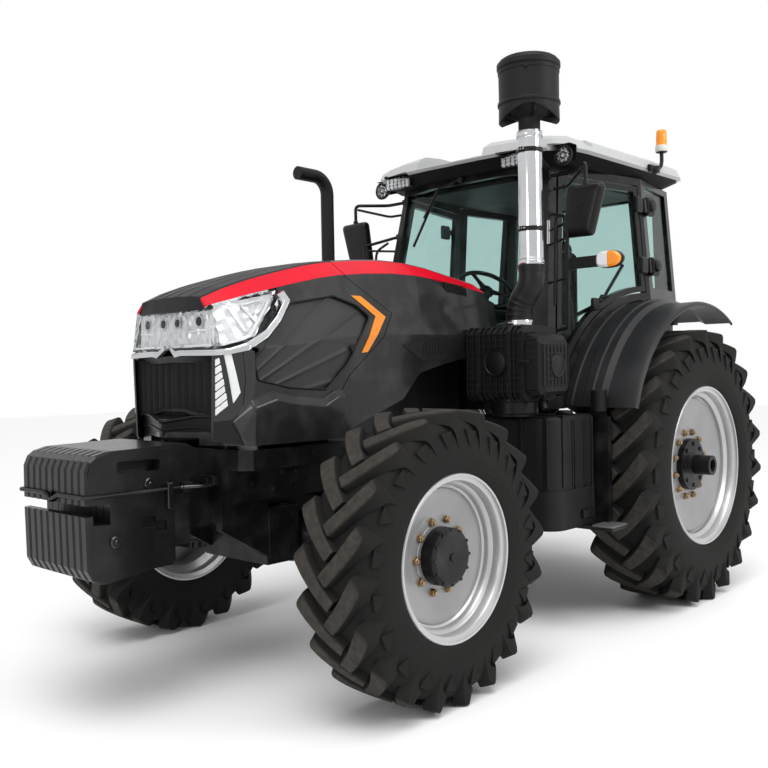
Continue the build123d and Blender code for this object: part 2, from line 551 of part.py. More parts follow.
def xz(points, y0=0.0, y1=700.0):
    """A side outline given forward of the rear axle, carried across the left half."""
    return prism_xz([(rx(x), z) for x, z in points], y0, y1)


SEAM = aft([(775, 2200), (775, 2010), (985, 1880), (1075, 1830), (985, 1700), (735, 1505), (675, 1425), (675, 1100)])
FAR_FRONT = HOOD_NOSE + 185
seam_front = xz(SEAM + [(FAR_FRONT, 1100), (FAR_FRONT, 2200)])
seam_rear = xz([(x - SEAM_GAP, z) for x, z in SEAM] + [(HOOD_BACK - 250, 1100), (HOOD_BACK - 250, 2200)])
ARCH = aft([(655, 1170), (775, 1245), (1145, 1370), (1285, 1510)])
ARCH += [(HOOD_BACK + 470, 1556), (HOOD_BACK + 100, 1620), (HOOD_BACK - 50, 1640), (HOOD_BACK - 50, 1150)]
LOUVRE = [(HOOD_BACK + 570, 2085), (HOOD_BACK + 190, 2030), (HOOD_BACK + 190, 1952), (HOOD_BACK + 385, 1972)]
LAMP_SIDE = aft([(375, 1873), (185, 1668), (115, 1640), (-45, 1610), (-45, 1960), (345, 1960)])
MESH = aft([(155, 1490), (130, 1590), (415, 1860), (675, 1905), (815, 1865), (905, 1805), (725, 1560), (575, 1435),
            (345, 1450)])
MESH_SEAT = aft([(140, 1475), (120, 1600), (410, 1875), (675, 1920), (825, 1878), (923, 1805), (733, 1550),
                 (579, 1420), (340, 1435)])
AMBER = aft([(795, 1912), (860, 1912), (1020, 1808), (865, 1622), (823, 1618), (947, 1808)])
WING = aft([(54, 1301), (108, 1398), (242, 1436), (338, 1416), (545, 1394), (632, 1434), (668, 1186), (121, 1186)])
WING_RISE = 10.0

front_side = side_skin(SEAM_X - 320, HOOD_NOSE, 0, HOOD_T) & seam_front
TRIM_Z0, TRIM_Z1 = 1606.0, 1640.0
trim_zone = block(nx(163), nx(-85), 0, 600, TRIM_Z0 - SEAT_GAP, TRIM_Z1)
amber_zone = xz(AMBER) & side_skin(SEAM_X - 320, HOOD_NOSE - 515, 40, 6)
front_side = front_side - trim_zone - xz(LAMP_SIDE) - xz(MESH) - amber_zone
front_side += side_skin(SEAM_X - 50, HOOD_NOSE, WING_RISE, 2) & xz(WING)
bumper_out = [(nx(175), 452), (nx(123), 447), (nx(50), 330), (nx(2), 180), (nx(-55), 30)]
bumper_in = [(nx(175), 425), (nx(133), 422), (nx(55), 300)]
bumper = prism_xy(bumper_out + [(x, -y) for x, y in reversed(bumper_out)], 1190, 1325)
bumper -= prism_xy(bumper_in + [(x, -y) for x, y in reversed(bumper_in)], 1180, 1340)
bumper -= block(nx(115), nx(-85), -170, 170, 1312, 1340)
bumper -= block(nx(115), nx(-85), -200, 200, 1180, 1225)
post = prism_xy([(nx(65), 300), (nx(30), 318), (nx(115), 440), (nx(140), 425)], 1320, 1600)
hood_shell = front_side + flip(front_side) + bumper + post + flip(post)
save("hood_shell", hood_shell)
save("hood_top", top_skin(SEAM_X, HOOD_NOSE))
save("hood_stripes", *both(stripe_skin(SEAM_X, HOOD_NOSE)))

mesh_panel = side_skin(SEAM_X - 320, HOOD_NOSE, -HOOD_T - SEAT_GAP, HOOD_T + 10) & xz(MESH_SEAT)
mesh_panel -= trim_zone
save("side_mesh", *both(mesh_panel))
amber = side_skin(SEAM_X - 320, HOOD_NOSE - 515, 4, 6 - SEAT_GAP) & xz(AMBER)
save("marker_lamps", *both(amber))

lamp_side = (side_skin(HOOD_NOSE - 515, HOOD_NOSE, -SEAT_GAP, 40) & xz(LAMP_SIDE)) - trim_zone
front_low = [(nx(45), 335), (nx(0), 335), (nx(-25), 114)]
front_high = [(nx(55), 276), (nx(7), 276), (nx(-15), 114)]
lamp_front = skin([[(x, y, z) for x, y in plan] + [(x, -y, z) for x, y in reversed(plan)]
                   for plan, z in ((front_low, TRIM_Z1), (front_high, 1825))])
headlights = lamp_side + flip(lamp_side) + lamp_front
save("headlights", headlights)

trim_out = [(nx(155), 465), (nx(107), 466), (nx(-5), 338), (nx(-30), 114), (nx(-7), 0)]
trim_in = [(nx(155), 440), (nx(120), 440), (nx(25), 325), (nx(15), 0)]
trim = prism_xy(trim_out + [(x, -y) for x, y in reversed(trim_out[:-1])], TRIM_Z0, TRIM_Z1 - SEAT_GAP)
trim -= prism_xy(trim_in + [(x, -y) for x, y in reversed(trim_in[:-1])], 1600, 1650)
save("headlight_trim", trim)

GRILLE_X = HOOD_NOSE - 65
RIB_COUNT = 7
grille = prism_yz([(-300, 1606), (-262, 1326), (262, 1326), (300, 1606)], rx(GRILLE_X - 15), rx(GRILLE_X))
for i in range(RIB_COUNT):
    y = (i - (RIB_COUNT - 1) / 2) * 76
    grille += skin([[(rx(GRILLE_X - 1), s * y - 22, z), (rx(GRILLE_X + 26), s * y - 6, z), (rx(GRILLE_X + 26), s * y + 6, z),
                     (rx(GRILLE_X - 1), s * y + 22, z)] for z, s in ((1330, 0.88), (1604, 1.0))])
save("grille", grille)

rear_side = side_skin(HOOD_BACK, HOOD_NOSE - 615, 0, HOOD_T) & seam_rear
rear_side -= xz(ARCH)
rear_side -= xz(LOUVRE)
rear_gap = SEAM_X - SEAM_GAP
PIVOT_X, PIVOT_Z, PIVOT_R = rx(HOOD_BACK + 70), 1985.0, 10.0    # the hood's hinge
ARM_IN, ARM_OUT = 282.0, 306.0


def under_top(x0, x1, rise, t):
    """A plate under the hood's top, from `rise` above its underside down to `t` below it."""
    outlines = []
    for x in (x0, x1):
        yt, zt = hood_row(x)[:2]
        z = zt - HOOD_T
        outlines.append([(rx(x), -yt + 15, z - t), (rx(x), yt - 15, z - t), (rx(x), yt - 15, z + rise), (rx(x), -yt + 15, z + rise)])
    return skin(outlines)


rear_top = top_skin(HOOD_BACK, rear_gap) + under_top(rear_gap - 60, rear_gap + 60, -SEAT_GAP, 8)
rear_top += under_top(rear_gap - 60, rear_gap - 8, 2, 8)
arm_top = hood_row(PIVOT_X - REAR_X)[1] - HOOD_T + 2
for y in (ARM_IN, -ARM_IN):
    out = ARM_OUT if y > 0 else -ARM_OUT
    rear_top += rod_y(PIVOT_X, PIVOT_Z, 20, y, out)
    rear_top += block(PIVOT_X - 20, PIVOT_X + 20, y, out, PIVOT_Z, arm_top)
    rear_top -= rod_y(PIVOT_X, PIVOT_Z, PIVOT_R + RUN_GAP, y * 0.9, out * 1.1)
save("hood_rear", *both(rear_side), rear_top)
upright = prism_xz([(ENGINE_BACK + 2, ENGINE_TOP + SEAT_GAP), (ENGINE_BACK + 120, ENGINE_TOP + SEAT_GAP),
                    (PIVOT_X + 20, PIVOT_Z + 18), (PIVOT_X - 18, PIVOT_Z + 18), (PIVOT_X - 18, PIVOT_Z - 20)], ARM_IN - 16, ARM_IN - 1)
upright += rod_y(PIVOT_X, PIVOT_Z, PIVOT_R, ARM_IN - 8, ARM_OUT + 4)
hood_mount = upright + flip(upright) + rod_y(PIVOT_X + 5, PIVOT_Z - 90, 14, -ARM_IN + 8, ARM_IN - 8)
save("hood_mount", hood_mount)
save("rear_stripes", *both(stripe_skin(HOOD_BACK, rear_gap)))

# ---------------------------------------------------------------- cab
CAB_Z0, CAB_Z1 = CAB_FLOOR_Z, 2800.0
WALL = 45.0
#            z     A pillar    door pillar  rear corner  windscreen's bulge
CAB_TABLE = ((1300, 1080, 745, -60, 905, -600, 830, 100), (2800, 800, 600, -40, 790, -630, 700, 90))
FENDER_GAP = 167.5            # from the lugs' tips to the fender, along its radius
FENDER_X, FENDER_Z = rx(-60), REAR_TYRE_R + 52.5
FENDER_R = REAR_TYRE_R + FENDER_GAP
WELL_IN = 745.0               # the wheel well's inner wall


def cab_row(z):
    """The cab's plan sizes at a height."""
    low, high = CAB_TABLE
    t = (z - low[0]) / (high[0] - low[0])
    return [p + t * (q - p) for p, q in zip(low[1:], high[1:])]


def cab_hull(inset, z0=CAB_Z0, z1=CAB_Z1):
    """The cab's outer form, moved inward by `inset`."""
    outlines = []
    for z in (z0, z1):
        xa, ya, xb, yb, xd, yd, bulge = cab_row(z)
        plan = [(xa + bulge - inset, 280), (xa - inset * 0.8, ya - inset * 0.7), (xb, yb - inset), (xd + inset, yd - inset)]
        outlines.append([(rx(x), y, z) for x, y in plan] + [(rx(x), -y, z) for x, y in reversed(plan)])
    return skin(outlines)


def side_at(x, z):
    """Y of the cab's side between the A pillar and the door pillar."""
    xa, ya, xb, yb = cab_row(z)[:4]
    return ya + (yb - ya) * (xa - x) / (xa - xb)


def front_at(y, z):
    """Forward place of the cab's front between the A pillar and the windscreen's bulge."""
    xa, ya, _, _, _, _, bulge = cab_row(z)
    return xa + bulge * (ya - y) / (ya - 280)


HINGE_X = rx(-30)
HINGE_OUT = 22.0              # the hinge line, outside the door pillar
HINGE_ZS = (2200.0, 2610.0)
HINGE_PIN_R = 7.0
HINGE_TILT = degrees(atan2(CAB_TABLE[0][4] - CAB_TABLE[1][4], CAB_TABLE[1][0] - CAB_TABLE[0][0]))


def hinge_frame(z):
    """A hinge's own frame: Z along the hinge line, which leans in with the door pillar."""
    return Pos(HINGE_X, cab_row(z)[3] + HINGE_OUT, z) * Rot(HINGE_TILT, 0, 0)


def frame_hinge(z):
    """The cab's half of a hinge: a pin between two knuckles on one leaf."""
    half = Cylinder(HINGE_PIN_R, 90)
    for end in (1, -1):
        half += Pos(0, 0, end * 33) * Cylinder(14, 25)
        half += Pos(-32, -25, end * 33) * Box(64, 48, 25)
    return hinge_frame(z) * half


def door_hinge(z):
    """The door's half of a hinge: the barrel and its leaf."""
    half = Cylinder(14, 39) + Pos(36, -9, 0) * Box(72, 10, 39) + Pos(60, -28, 0) * Box(40, 40, 39)
    return hinge_frame(z) * (half - Cylinder(HINGE_PIN_R + RUN_GAP, 60))


def a_line(z, back):
    """X of a line parallel to the A pillar, some way behind it."""
    return cab_row(z)[0] - back


DOOR_ARC = FENDER_R + 55.0
DOOR_TOP = 2742.0
DOOR_FLOOR = 1360.0
DOOR_BACK = 0.0
DOOR_FRONT = 82.0             # behind the A pillar's outer edge


def both_sides(points):
    """A side outline carried across the whole width."""
    return xz(points, -1200, 1200)


def door_prism(grow, front_grow):
    """The door's side outline, grown by a clearance, carried across the whole width."""
    floor, top, back = DOOR_FLOOR - grow, DOOR_TOP + grow, DOOR_BACK - grow
    sheet = both_sides([(a_line(floor, DOOR_FRONT - front_grow), floor),
                        (a_line(top, DOOR_FRONT - front_grow), top), (back, top), (back, floor)])
    return sheet - rod_y(FENDER_X, FENDER_Z, DOOR_ARC - grow, -1300, 1300)


well = ring([(0, WELL_IN - SEAT_GAP), (FENDER_R + SEAT_GAP, WELL_IN - SEAT_GAP), (FENDER_R + SEAT_GAP, 1300), (0, 1300)],
            FENDER_X, FENDER_Z, 0)
BAR_R = 11.0
BAR_ZS = (2728.0, 2480.0, 1740.0)   # where the mirror's and the rail's bars meet the cab
BAR_BACK = 20.0
PAD_RISE = 10.0


def bar_foot(z):
    """Where a bar meets its pad on the cab's side, a little behind the A pillar."""
    x = cab_row(z)[0] - BAR_BACK
    return (rx(x), side_at(x, z) + PAD_RISE + SEAT_GAP, z)


def bar_pad(z):
    """The pad that carries a bar, flat on its outer side."""
    x, y, _ = bar_foot(z)
    return block(x - 18, x + 18, y - PAD_RISE - 22, y - SEAT_GAP, z - 18, z + 18)


WINDSCREEN = [(-600, 1760), (-555, 2762), (555, 2762), (600, 1760)]
REAR_WINDOW = [(-640, 1700), (-600, 2755), (600, 2755), (640, 1700)]
QUARTER = [(-550, 2060), (-120, 2060), (-110, 2755), (-560, 2755)]
screen_cut = prism_yz(WINDSCREEN, rx(700), rx(1400))
back_cut = prism_yz(REAR_WINDOW, rx(-800), rx(-480))
quarter_cut = both_sides(QUARTER)

shell = cab_hull(0) - cab_hull(WALL, CAB_Z0 - 1, CAB_Z1 + 1)
FLOOR_T = 40.0
cab = shell + (cab_hull(WALL / 2, CAB_Z0, CAB_Z0 + FLOOR_T))
cab = cab - door_prism(MOVE_GAP, 16) - screen_cut - back_cut - quarter_cut - well - flip(well)
for z in HINGE_ZS:
    cab += frame_hinge(z) + flip(frame_hinge(z))
for z in BAR_ZS:
    cab += bar_pad(z) + flip(bar_pad(z))
cab += both_sides([(1180, CAB_Z0), (1244, CAB_Z0), (1244, 1960), (1130, 1930), (1095, 1720)]) & block(rx(1000), rx(1300), -400, 400, 1200, 2000)
save("cab_frame", cab)

pane = cab_hull(14) - cab_hull(20, CAB_Z0 - 1, CAB_Z1 + 1)
quarter = pane & quarter_cut
save("cab_glass", pane & screen_cut, pane & back_cut, quarter)

DOOR_RIM = 38.0
window = door_prism(-DOOR_RIM, -DOOR_RIM)
left_half = block(rx(-900), rx(1400), 100, 1300, 1000, 3000)
door = (shell & door_prism(0, 0) & left_half) - window
door_glass = pane & window & left_half
for z in HINGE_ZS:
    door += door_hinge(z)
for side, turn in (("left", lambda s: s), ("right", flip)):
    save(f"door_{side}", turn(door))
    save(f"door_glass_{side}", turn(door_glass))

ROOF_PLAN = [(1062, 230), (1050, 420), (1010, 590), (940, 725), (850, 800), (700, 823), (-540, 850), (-640, 805),
             (-682, 700)]
EAVE_Z = 2868.0               # the roof's widest level


def roof_level(z, inset):
    """The roof's outline at a height, moved inward."""
    pts = [(x - (inset if x > 0 else -inset), y - (inset if y > 300 else 0)) for x, y in ROOF_PLAN]
    return [(rx(x), y, z) for x, y in pts] + [(rx(x), -y, z) for x, y in reversed(pts)]


roof = skin([roof_level(CAB_Z1 + SEAT_GAP, 110), roof_level(EAVE_Z, 0), roof_level(2925, 22), roof_level(2968, 95),
             roof_level(2982, 220)])
roof -= xz([(1300, 2874), (960, 2874), (470, 2966), (470, 3100), (1300, 3100)], -270, 270)
groove = xz([(790, 3010), (700, 2903), (630, 2903), (540, 3010)], 700, 900)
roof = roof - groove - flip(groove)
POCKET_TOP = 2872.0
WORK_LAMP_Y0, WORK_LAMP_Y1 = 380.0, 600.0
FOG_X0, FOG_X1, FOG_Y, FOG_Z, FOG_R = rx(830), rx(880), 752.0, 2825.0, 48.0
lamp_pocket = block(rx(945), rx(1100), WORK_LAMP_Y0 - 12, WORK_LAMP_Y1 + 12, 2780, POCKET_TOP)
lamp_pocket += block(rx(800), rx(1000), FOG_Y - 70, 950, 2780, POCKET_TOP + 18)
roof = roof - lamp_pocket - flip(lamp_pocket)
save("roof", roof)

# ---------------------------------------------------------------- fenders
fender_profile = [(600, WELL_IN), (FENDER_R, WELL_IN), (FENDER_R, 990), (1010, 1020), (1010, 1200), (988, 1222),
                  (976, 1214), (998, 1192), (998, 1012), (FENDER_R - 12, 980), (FENDER_R - 12, WELL_IN + 12), (600, WELL_IN + 12)]
FENDER_FIRST, FENDER_LAST = 20.5, 118.0
start_angle = radians(FENDER_FIRST)
fender_face = Face(Wire.make_polygon([Vector(r * cos(start_angle), y, r * sin(start_angle)) for r, y in fender_profile]))
fender = Pos(FENDER_X, 0, FENDER_Z) * Solid.revolve(fender_face, FENDER_LAST - FENDER_FIRST, Axis((0, 0, 0), (0, -1, 0)))
save("fenders", *both(fender))

# ---------------------------------------------------------------- air cleaner, intake and exhaust
AIR_X0, AIR_X1 = rx(1192), rx(1525)
AIR_Y0, AIR_Y1 = 480.0, 985.0
AIR_Z0, AIR_Z1 = 1345.0, 1760.0
AIR_CAP_Y = 880.0             # where the end cap starts
PIPE_X, PIPE_Y, PIPE_R = rx(1330), 810.0, 71.0
ELBOW_Y = 720.0
ELBOW_R = 80.0


def air_outline(y, inset, low, high, cut):
    """The air cleaner's outline across its length, with its four corners cut."""
    x0, x1 = AIR_X0 + inset, AIR_X1 - inset
    z0, z1 = AIR_Z0 + low, AIR_Z1 - high
    return [(x0 + cut, y, z0), (x1 - cut, y, z0), (x1, y, z0 + cut), (x1, y, z1 - cut), (x1 - cut, y, z1),
            (x0 + cut, y, z1), (x0, y, z1 - cut), (x0, y, z0 + cut)]


cleaner = skin([air_outline(AIR_Y0, 0, 0, 0, 30), air_outline(AIR_CAP_Y, 0, 0, 0, 30)])
cleaner += skin([air_outline(AIR_CAP_Y - 1, 14, 20, 34, 34), air_outline(AIR_Y1 - 22, 14, 24, 52, 34),
                 air_outline(AIR_Y1, 34, 44, 76, 34)])
cleaner += rod_z((AIR_X0 + AIR_X1) / 2, 700, 140, TANK_Z1 + SEAT_GAP, AIR_Z0 + 5)
cleaner += rod_x(720, (AIR_Z0 + AIR_Z1) / 2, 95, AIR_X1 - 5, AIR_X1 + 22)
cleaner += tube([(PIPE_X, ELBOW_Y, AIR_Z1 - 10), (PIPE_X, ELBOW_Y, 1880), (PIPE_X, PIPE_Y, 2010), (PIPE_X, PIPE_Y, 2110)], ELBOW_R, 90)
save("air_cleaner", cleaner)
pipe = rod_z(PIPE_X, PIPE_Y, PIPE_R, 2110 + SEAT_GAP, 2870)
for z in (2315, 2760):
    pipe += rod_z(PIPE_X, PIPE_Y, PIPE_R + 6, z - 12, z + 12)
    ya = cab_row(z - 8)[1]
    feet = [(rx(front_at(y, z - 8) + SEAT_GAP), y) for y in (ya - 60, ya - 20)]
    pipe += prism_xy(feet + [(PIPE_X, PIPE_Y + 15), (PIPE_X, PIPE_Y - 25)], z - 8, z + 8)
save("intake_pipe", pipe)
DRUM_R, DRUM_Z0, DRUM_Z1 = 172.0, 2920.0, 3290.0
drum = rod_z(PIPE_X, PIPE_Y, DRUM_R, DRUM_Z0, DRUM_Z1 - 20)
drum += rod_z(PIPE_X, PIPE_Y, DRUM_R + 8, DRUM_Z1 - 85, DRUM_Z1 - 25)
drum += rod_z(PIPE_X, PIPE_Y, DRUM_R - 12, DRUM_Z1 - 30, DRUM_Z1)
drum -= rod_z(PIPE_X, PIPE_Y, DRUM_R - 10, DRUM_Z0 - 1, DRUM_Z0 + 70)
drum += rod_z(PIPE_X, PIPE_Y, 62, 2870 + SEAT_GAP, DRUM_Z0 + 80)
save("precleaner", drum)

STACK_X, STACK_Y, STACK_R = rx(1540), -640.0, 43.0
stack = tube([(STACK_X, STACK_Y, 1480), (STACK_X, STACK_Y, 2800), (STACK_X + 260, STACK_Y, 2800)], STACK_R, 110)
stack += block(STACK_X - 30, STACK_X + 30, STACK_Y - 20, -ENGINE_HALF - SEAT_GAP, 1420, 1490)
save("exhaust", stack)

# ---------------------------------------------------------------- mirrors, lamps and rails
POST_X, POST_Y = rx(985), 838.0
arm_foot = bar_foot(BAR_ZS[0])
mirror_arm = tube([arm_foot, (arm_foot[0], 760, arm_foot[2]), (POST_X - 20, 950, arm_foot[2]), (POST_X - 20, 950, 2600)], BAR_R, 25)
head = prism_yz([(792, 2300), (993, 2296), (1080, 2600), (838, 2606)], POST_X - 60, POST_X + 20)
head = fillet(head.edges(), 24)
post_foot, low_foot = bar_foot(BAR_ZS[1]), bar_foot(BAR_ZS[2])
post = tube([post_foot, (post_foot[0], 720, post_foot[2]), (POST_X, POST_Y, 2400), (POST_X, POST_Y, 1760),
             (low_foot[0], 790, low_foot[2]), low_foot], BAR_R, 18)
save("mirrors", *both(mirror_arm + head), *both(post))

lamps = []
work_lamp = block(rx(965), rx(1015), WORK_LAMP_Y0, WORK_LAMP_Y1, 2785, POCKET_TOP - 12)
work_lamp += block(rx(975), rx(995), 470, 510, 2785, POCKET_TOP - SEAT_GAP)
lamps += both(work_lamp)
fog_lamp = rod_x(FOG_Y, FOG_Z, FOG_R, FOG_X0, FOG_X1)
fog_lamp += block(FOG_X0 + 10, FOG_X1 - 10, FOG_Y - 15, FOG_Y + 15, FOG_Z, POCKET_TOP + 18 - SEAT_GAP)
lamps += both(fog_lamp)
turn = fillet(block(POST_X - 35, POST_X + 35, 1035, 1200, 2095, 2195).edges(), 24)
turn += block(POST_X - 5, POST_X + 5, POST_Y + BAR_R + SEAT_GAP, 1050, 2110, 2160)
lamps += both(turn)
save("lamps", *lamps)
BEACON_X, BEACON_Y, BEACON_R = rx(-180), 882.0, 13.0
eave_y = 823 + (700 + 60) * (850 - 823) / 1240
beacon = tube([(rx(-60), eave_y + BEACON_R + SEAT_GAP, EAVE_Z), (BEACON_X + 40, BEACON_Y, EAVE_Z),
               (BEACON_X, BEACON_Y, EAVE_Z + 40), (BEACON_X, BEACON_Y, 2990)], BEACON_R, 20)
beacon += rod_z(BEACON_X, BEACON_Y, 42, 2982, 3028)
beacon += rod_z(BEACON_X, BEACON_Y, 36, 3022, 3141)
save("beacon", beacon)

# ---------------------------------------------------------------- seat and controls
SEAT_X = rx(160)
FLOOR_Z = CAB_Z0 + FLOOR_T
seat = block(SEAT_X - 120, SEAT_X + 120, -120, 120, FLOOR_Z + SEAT_GAP, 1740)
seat += fillet(block(SEAT_X - 240, SEAT_X + 260, -250, 250, 1700, 1830).edges(), 40)
seat += fillet(block(SEAT_X - 330, SEAT_X - 210, -240, 240, 1740, 2420).edges(), 40)
save("seat", seat)
WHEEL_X, WHEEL_Z = rx(660), 2060.0
console = block(rx(840), rx(1000), -180, 180, FLOOR_Z + SEAT_GAP, 1800)
console += tube([(rx(860), 0, 1760), (WHEEL_X, 0, WHEEL_Z)], 35)
wheel = Torus(195, 15) + Cylinder(50, 40)
for turn_deg in (0, 120, 240):
    wheel += Rot(0, 0, turn_deg) * Pos(110, 0, 0) * Box(180, 26, 12)
wheel = Pos(WHEEL_X, 0, WHEEL_Z) * Rot(0, -35, 0) * wheel
save("controls", console + wheel)

# ---------------------------------------------------------------- rear linkage
LINK_END = rx(-1112)
BALL_R = 18.7                 # category III ball bore
LIFT_X = rx(-735)
ARM_Z = 965.0
ARM_PIN_R = 14.0
ARM_Y0, ARM_Y1 = 300.0, 335.0
ROD_Y0, ROD_Y1 = 345.0, 372.0
link = block(LINK_END, LINK_X, LINK_Y0, LINK_Y1, LINK_Z - 35, LINK_Z + 35)
link += rod_y(LINK_X, LINK_Z, 42, LINK_Y0, LINK_Y1) + rod_y(LINK_END, LINK_Z, 38, LINK_Y0 - 3, LINK_Y1 + 3)
link -= rod_y(LINK_X, LINK_Z, LINK_PIN_R + RUN_GAP, LINK_Y0 - 5, LINK_Y1 + 5)
link -= rod_y(LINK_END, LINK_Z, BALL_R, LINK_Y0 - 5, LINK_Y1 + 5)
save("lower_links", *both(link))

rock = rod_y(ROCK_X, ROCK_Z, ROCK_R, -ARM_Y1, ARM_Y1)
arm = prism_xz([(ROCK_X + 45, ROCK_Z - 45), (ROCK_X + 45, ROCK_Z + 50), (ROCK_X - 20, ROCK_Z + 50),
                (LIFT_X - 28, ARM_Z + 26), (LIFT_X - 28, ARM_Z - 26)], ARM_Y0, ARM_Y1)
arm += rod_y(LIFT_X, ARM_Z, ARM_PIN_R, ARM_Y1 - 5, ROD_Y1 + 6)
save("lift_arms", rock + arm + flip(arm))

lift_rod = block(LIFT_X - 16, LIFT_X + 16, ROD_Y0, ROD_Y1, LINK_Z, ARM_Z)
lift_rod += rod_y(LIFT_X, ARM_Z, 30, ROD_Y0, ROD_Y1) + rod_y(LIFT_X, LINK_Z, 30, ROD_Y0, ROD_Y1)
lift_rod -= rod_y(LIFT_X, ARM_Z, ARM_PIN_R + RUN_GAP, ROD_Y0 - 1, ROD_Y1 + 1)
save("lift_rods", *both(lift_rod))

DRAWBAR_PIN_R = 16.5
drawbar = block(rx(-760), rx(-60), -45, 45, 440, 490)
drawbar += block(rx(-300), rx(-180), -120, 120, 485, 580 - SEAT_GAP)
drawbar -= rod_z(rx(-710), 0, DRAWBAR_PIN_R, 430, 500)
TOP_Z = 850.0
TOP_PIN_R = 16.0
top_link = block(rx(-980), rx(-420), -20, 20, TOP_Z - 20, TOP_Z + 20)
top_link += block(rx(-430), rx(-330) - SEAT_GAP, -60, 60, TOP_Z - 40, TOP_Z + 40)
top_link += rod_y(rx(-1000), TOP_Z, 34, -25, 25)
top_link -= rod_y(rx(-1000), TOP_Z, TOP_PIN_R, -30, 30)
save("hitch", drawbar, top_link)
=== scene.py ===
"""Dresses the farm tractor: finishes, tyres, wheels, hood, cab and fittings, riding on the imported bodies.

Lengths are in metres in the frame of the part: +X forward, +Y to the tractor's left, +Z up, with the
ground at Z = 0.
"""
from __future__ import annotations

import logging
import math
from dataclasses import dataclass, field
from enum import Enum
from typing import Callable, Sequence

import bpy
import numpy as np
from mathutils import Matrix, Vector


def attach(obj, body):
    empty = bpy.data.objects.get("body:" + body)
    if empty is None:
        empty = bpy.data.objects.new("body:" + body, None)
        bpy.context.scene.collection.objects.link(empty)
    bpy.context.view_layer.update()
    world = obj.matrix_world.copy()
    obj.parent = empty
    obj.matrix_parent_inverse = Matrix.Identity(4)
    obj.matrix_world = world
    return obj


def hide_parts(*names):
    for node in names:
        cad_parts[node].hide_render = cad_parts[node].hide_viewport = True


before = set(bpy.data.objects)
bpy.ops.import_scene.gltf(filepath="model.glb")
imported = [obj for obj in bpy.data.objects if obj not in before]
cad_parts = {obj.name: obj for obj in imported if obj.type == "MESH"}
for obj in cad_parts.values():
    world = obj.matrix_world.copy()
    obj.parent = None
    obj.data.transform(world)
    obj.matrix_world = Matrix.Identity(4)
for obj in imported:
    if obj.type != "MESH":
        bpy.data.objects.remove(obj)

Array = np.ndarray
LOG = logging.getLogger("tractor")
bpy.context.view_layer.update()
MM = 0.001
BEVEL_FROM = math.radians(40)
BORE = 0.0005  # radius of the hair-thin hole that a turned solid keeps on its axis


class Side(Enum):
    """The tractor's two sides, with the sign of Y there."""

    LEFT = 1
    RIGHT = -1

    @property
    def word(self) -> str:
        """The side's name as the nodes spell it."""
        return self.name.lower()


class Axis(Enum):
    """The three directions that turned and extruded shapes follow."""

    X = 0
    Y = 1
    Z = 2


# ------------------------------------------------------------ shapes
@dataclass
class Shape:
    """A mesh in arrays: corner points, and blocks of faces that share a corner count and a finish."""

    points: Array
    faces: list[Array]
    paints: list[int] = field(default_factory=list)

    def __post_init__(self) -> None:
        """Gives every block of faces the first finish where none is stated."""
        self.points = np.asarray(self.points, float).reshape(-1, 3)
        self.faces = [np.asarray(block, np.int64) for block in self.faces if len(block)]
        if len(self.paints) != len(self.faces):
            self.paints = [0] * len(self.faces)

    def __add__(self, other: "Shape") -> "Shape":
        """Both shapes as one."""
        start = len(self.points)
        return Shape(np.vstack([self.points, other.points]),
                     self.faces + [block + start for block in other.faces], self.paints + other.paints)

    def turned(self, angle: float, axis: Axis, about: Sequence[float] = (0, 0, 0)) -> "Shape":
        """The shape turned by the right-hand rule.

        Args:
            angle: the turn in radians.
            axis: the direction of the line it turns about.
            about: a point on that line.

        Returns:
            The turned shape.
        """
        turn = np.array(Matrix.Rotation(angle, 3, axis.name))
        centre = np.asarray(about, float)
        return Shape((self.points - centre) @ turn.T + centre, self.faces, self.paints)

    def mirrored(self) -> "Shape":
        """The mirror image across the centre plane, with its faces still outwards."""
        return Shape(self.points * np.array([1, -1, 1]), [block[:, ::-1] for block in self.faces],
                     self.paints)

    def outward(self) -> "Shape":
        """The closed shape with its faces outwards, told by the sign of the volume that they enclose."""
        total = 0.0
        for rows in self.faces:
            p = self.points[rows]
            total += float(np.sum(p[:, :1] * np.cross(p[:, 1:-1], p[:, 2:])))
        if total >= 0:
            return self
        return Shape(self.points, [rows[:, ::-1] for rows in self.faces], self.paints)

    def both_sides(self) -> "Shape":
        """The shape with its mirror image."""
        return self + self.mirrored()

    def on(self, side: Side) -> "Shape":
        """The left-hand shape as it is on one side."""
        return self if side is Side.LEFT else self.mirrored()


def joined(shapes: Sequence[Shape]) -> Shape:
    """Many shapes as one, with their points stacked in order.

    Args:
        shapes: the shapes to join.

    Returns:
        One shape.
    """
    starts = np.cumsum([0] + [len(s.points) for s in shapes[:-1]])
    faces = [block + start for s, start in zip(shapes, starts) for block in s.faces]
    return Shape(np.vstack([s.points for s in shapes]), faces, [p for s in shapes for p in s.paints])


def grid(points: Array, close_u: bool = False, close_v: bool = False) -> Shape:
    """A surface through a grid of points: each face joins (i, j), (i+1, j), (i+1, j+1) and (i, j+1).

    Args:
        points: corners as (u, v, 3).
        close_u: joins the last row to the first.
        close_v: joins the last column to the first.

    Returns:
        The surface as quads.
    """
    rows, columns = points.shape[:2]
    i = np.arange(rows if close_u else rows - 1)[:, None]
    j = np.arange(columns if close_v else columns - 1)[None, :]
    i2, j2 = (i + 1) % rows, (j + 1) % columns
    quads = np.stack([i * columns + j, i2 * columns + j, i2 * columns + j2, i * columns + j2], axis=-1)
    return Shape(points, [quads.reshape(-1, 4)])


